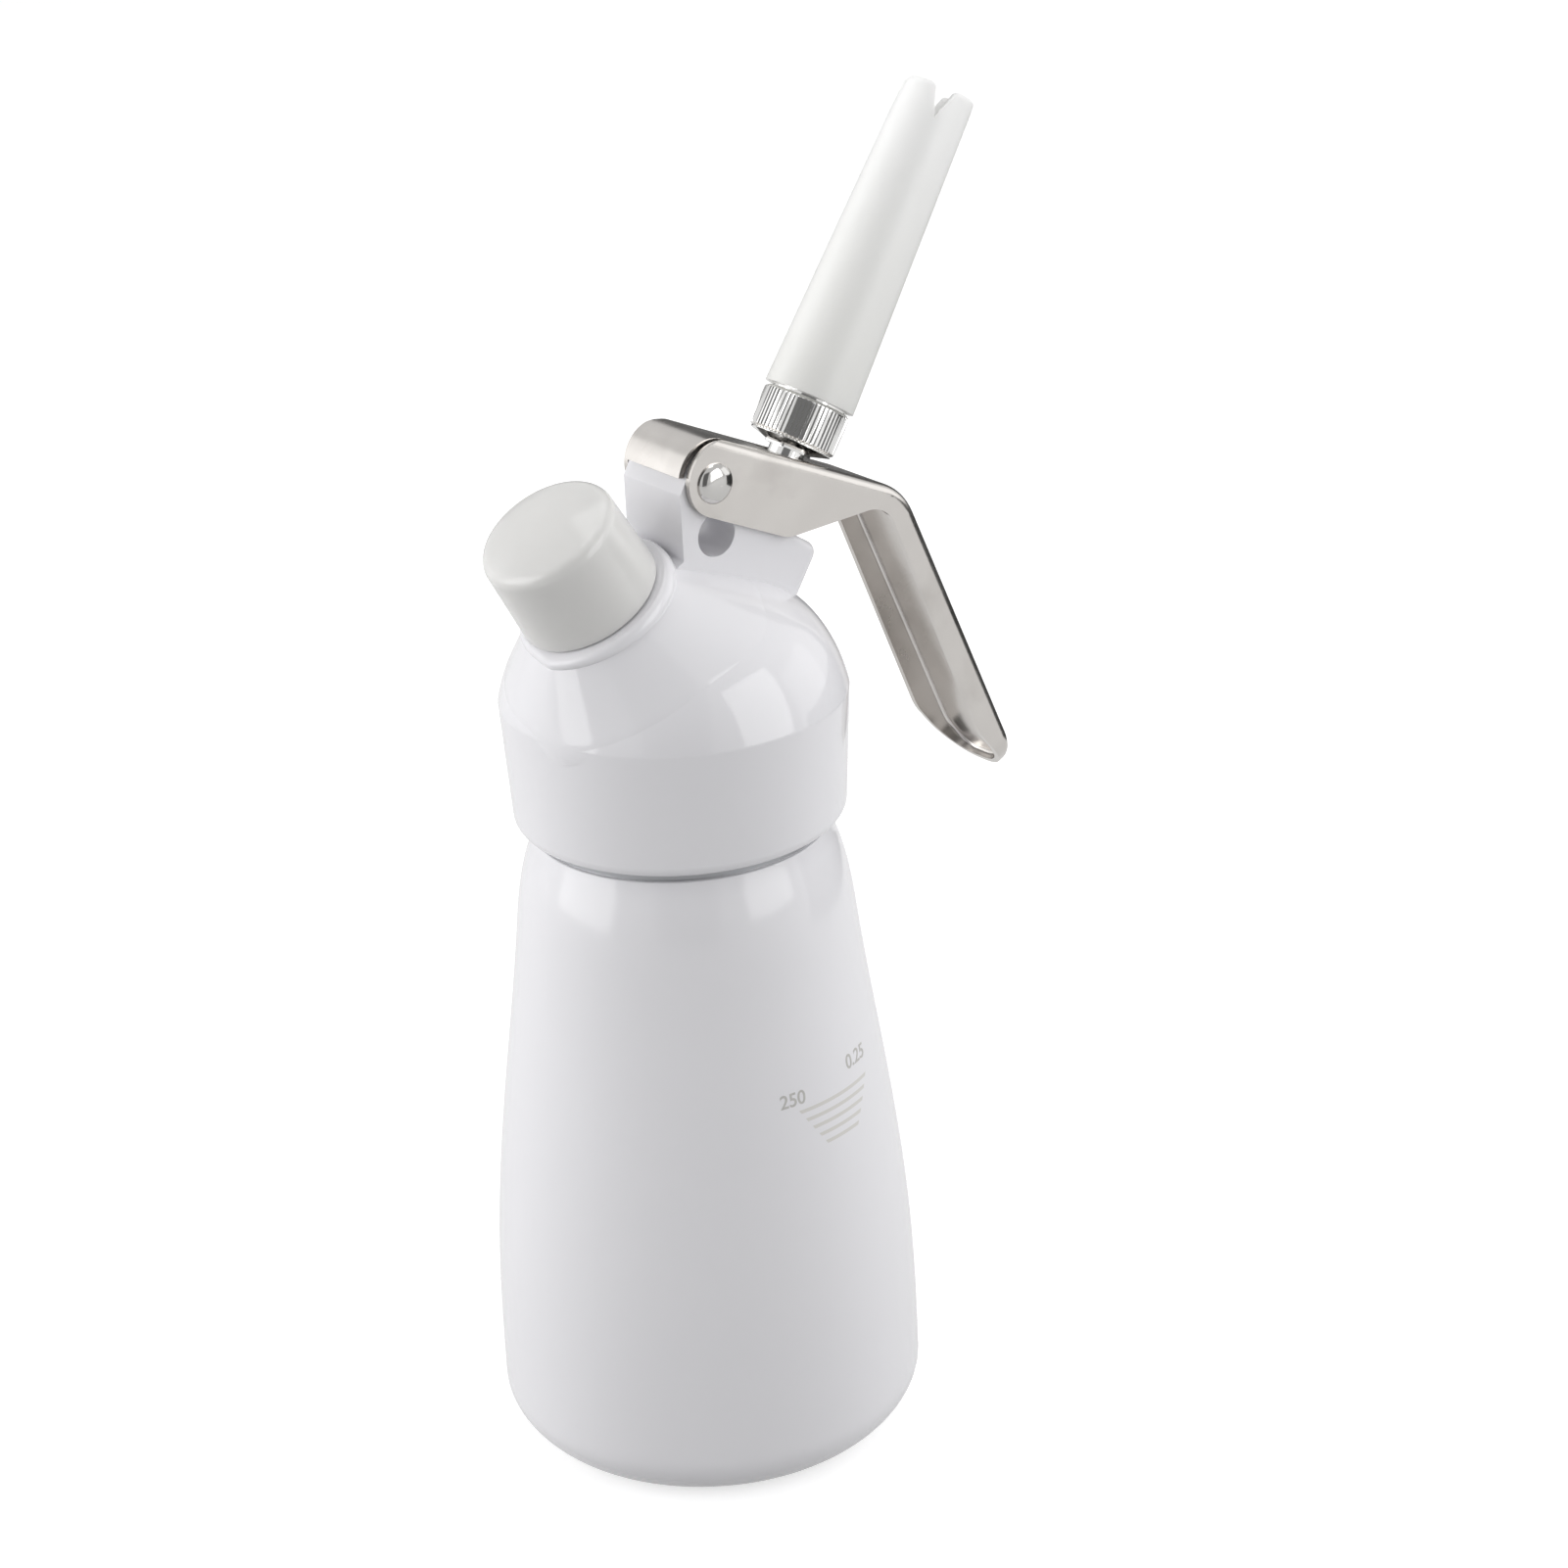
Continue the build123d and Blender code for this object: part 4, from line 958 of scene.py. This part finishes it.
pin_steel = Finish("pin steel", Metallic=1.0)
pin_steel.feed("Base Color", pin_steel.blend(
    pin_steel.noise(120, 3), (0.56, 0.55, 0.535, 1), (0.64, 0.63, 0.615, 1)))
pin_steel.feed("Roughness", 0.07 + 0.09 * pin_steel.noise(400, 4))
pin_steel.relief(pin_steel.noise(900, 2), 0.003, 0.4)
pin_steel.on("hinge_pin", "hinge_pin_cap")

# ---------------------------------------------------------------- studio
# A pale floor in a pale room, a softbox on either side of the object, one overhead, and a
# fill lamp at the right. Flags and cards show only in reflections, as lines in the metal.
studio_middle = Vector((0, 0, 0.12))


def direction(azimuth, elevation):
    """Unit vector at two angles in degrees."""
    azimuth, elevation = math.radians(azimuth), math.radians(elevation)
    return Vector((math.cos(elevation) * math.cos(azimuth), math.cos(elevation) * math.sin(azimuth),
                   math.sin(elevation)))


def softbox(name, azimuth, elevation, distance, width, height, glow, mirrored=True):
    """Area lamp that faces the middle of the object. Its power gives its face the wanted glow."""
    away = direction(azimuth, elevation)
    lamp = bpy.data.lights.new(name, "AREA")
    lamp.shape = "RECTANGLE"
    lamp.size, lamp.size_y = width, height
    lamp.energy = glow * math.pi * width * height
    stand = bpy.data.objects.new(name, lamp)
    bpy.context.scene.collection.objects.link(stand)
    stand.location = studio_middle + distance * away
    stand.rotation_euler = away.to_track_quat("Z", "Y").to_euler()
    stand.visible_camera = False
    stand.visible_glossy = mirrored


softbox("right softbox", -66, 20, 1.0, 0.68, 0.8, 2.45)
softbox("left softbox", 148, 16, 1.0, 1.4, 0.8, 2.75)
softbox("top softbox", 60, 75, 1.1, 0.8, 0.8, 1.45)
softbox("right fill", -16, 28, 1.4, 1.0, 1.0, 2.3, mirrored=False)


def staged(name, corners):
    """Flat panel of the studio, apart from the object."""
    mesh = bpy.data.meshes.new(name)
    mesh.from_pydata(corners, [], [(0, 1, 2, 3)])
    panel = bpy.data.objects.new(name, mesh)
    bpy.context.scene.collection.objects.link(panel)
    return panel


def flag(name, azimuth, elevation, distance, width, height, grey):
    """Matt panel that only shows in reflections: it faces the middle of the object."""
    away = direction(azimuth, elevation)
    turn = away.to_track_quat("Z", "Y").to_matrix()
    panel = staged(name, [studio_middle + distance * away + turn @ Vector((x * width / 2, y * height / 2, 0))
                          for x, y in ((-1, -1), (1, -1), (1, 1), (-1, 1))])
    panel.visible_camera = panel.visible_diffuse = panel.visible_shadow = False
    cloth = Finish(name, Roughness=1.0, Base_Color=(0, 0, 0, 1), Specular_IOR_Level=0.0,
                   Emission_Color=(grey, grey, grey, 1), Emission_Strength=1.0)
    cloth.on(panel)


flag("front flag", -126, 20, 0.95, 0.75, 1.3, 0.16)
flag("pale left card", 122, 14, 0.9, 0.5, 0.8, 1.22)
flag("dark back flag", 20, 18, 0.9, 0.3, 0.8, 0.06)
flag("bright card", -23, 10, 0.95, 0.58, 0.6, 1.4)
flag("grey back flag", 50, 4, 0.6, 0.8, 0.5, 0.12)
flag("dark low flag", 3, -8, 0.36, 0.62, 0.14, 0.05)

floor_finish = Finish("pale floor", Roughness=0.9, Emission_Strength=1.0)
seen = floor_finish.node("ShaderNodeLightPath", output="Is Camera Ray")
mirrored = (Reading(floor_finish, seen.socket.node.outputs["Is Glossy Ray"])
            + Reading(floor_finish, seen.socket.node.outputs["Is Transmission Ray"]))
floor_finish.feed("Emission Color", seen * 0.62 + mirrored * 0.5)
floor_finish.feed("Base Color", 0.42 + seen * 0.2 - mirrored * 0.14)
floor_finish.on(staged("floor", [(-4, -4, 0), (4, -4, 0), (4, 4, 0), (-4, 4, 0)]))

room = bpy.data.worlds.new("room")
room.use_nodes = True
bpy.context.scene.world = room
sky = room.node_tree.nodes["Background"]
sky.inputs["Color"].default_value = (1, 1, 1, 1)
light_path = room.node_tree.nodes.new("ShaderNodeLightPath")
strength = sky.inputs["Strength"]
for ray, glow in (("Is Camera Ray", 1.0), ("Is Glossy Ray", 0.78), ("Is Transmission Ray", 0.78)):
    share = room.node_tree.nodes.new("ShaderNodeMix")
    share.inputs["B"].default_value = glow
    room.node_tree.links.new(light_path.outputs[ray], share.inputs["Factor"])
    room.node_tree.links.new(share.outputs["Result"], strength)
    strength = share.inputs["A"]
strength.default_value = 0.34

# ---------------------------------------------------------------- camera
# A long lens from the near left, a little above the head. The lever and the nozzle point
# away from it, to the right.
right, up, ahead = (Vector(axis).normalized() for axis in (
    (0.7737, -0.6322, -0.0429), (0.2858, 0.2878, 0.9140), (0.5655, 0.7194, -0.4034)))
lens = bpy.data.cameras.new("camera")
lens.lens = 89.94
lens.sensor_width = 36
camera = bpy.data.objects.new("camera", lens)
bpy.context.scene.collection.objects.link(camera)
camera.matrix_world = Matrix.Translation(Vector((-349.6, -472.5, 375.3)) * mm) @ Matrix((
    right, up, -ahead)).transposed().to_4x4()
bpy.context.scene.camera = camera
bpy.context.scene.view_settings.view_transform = "Standard"

bpy.context.view_layer.update()
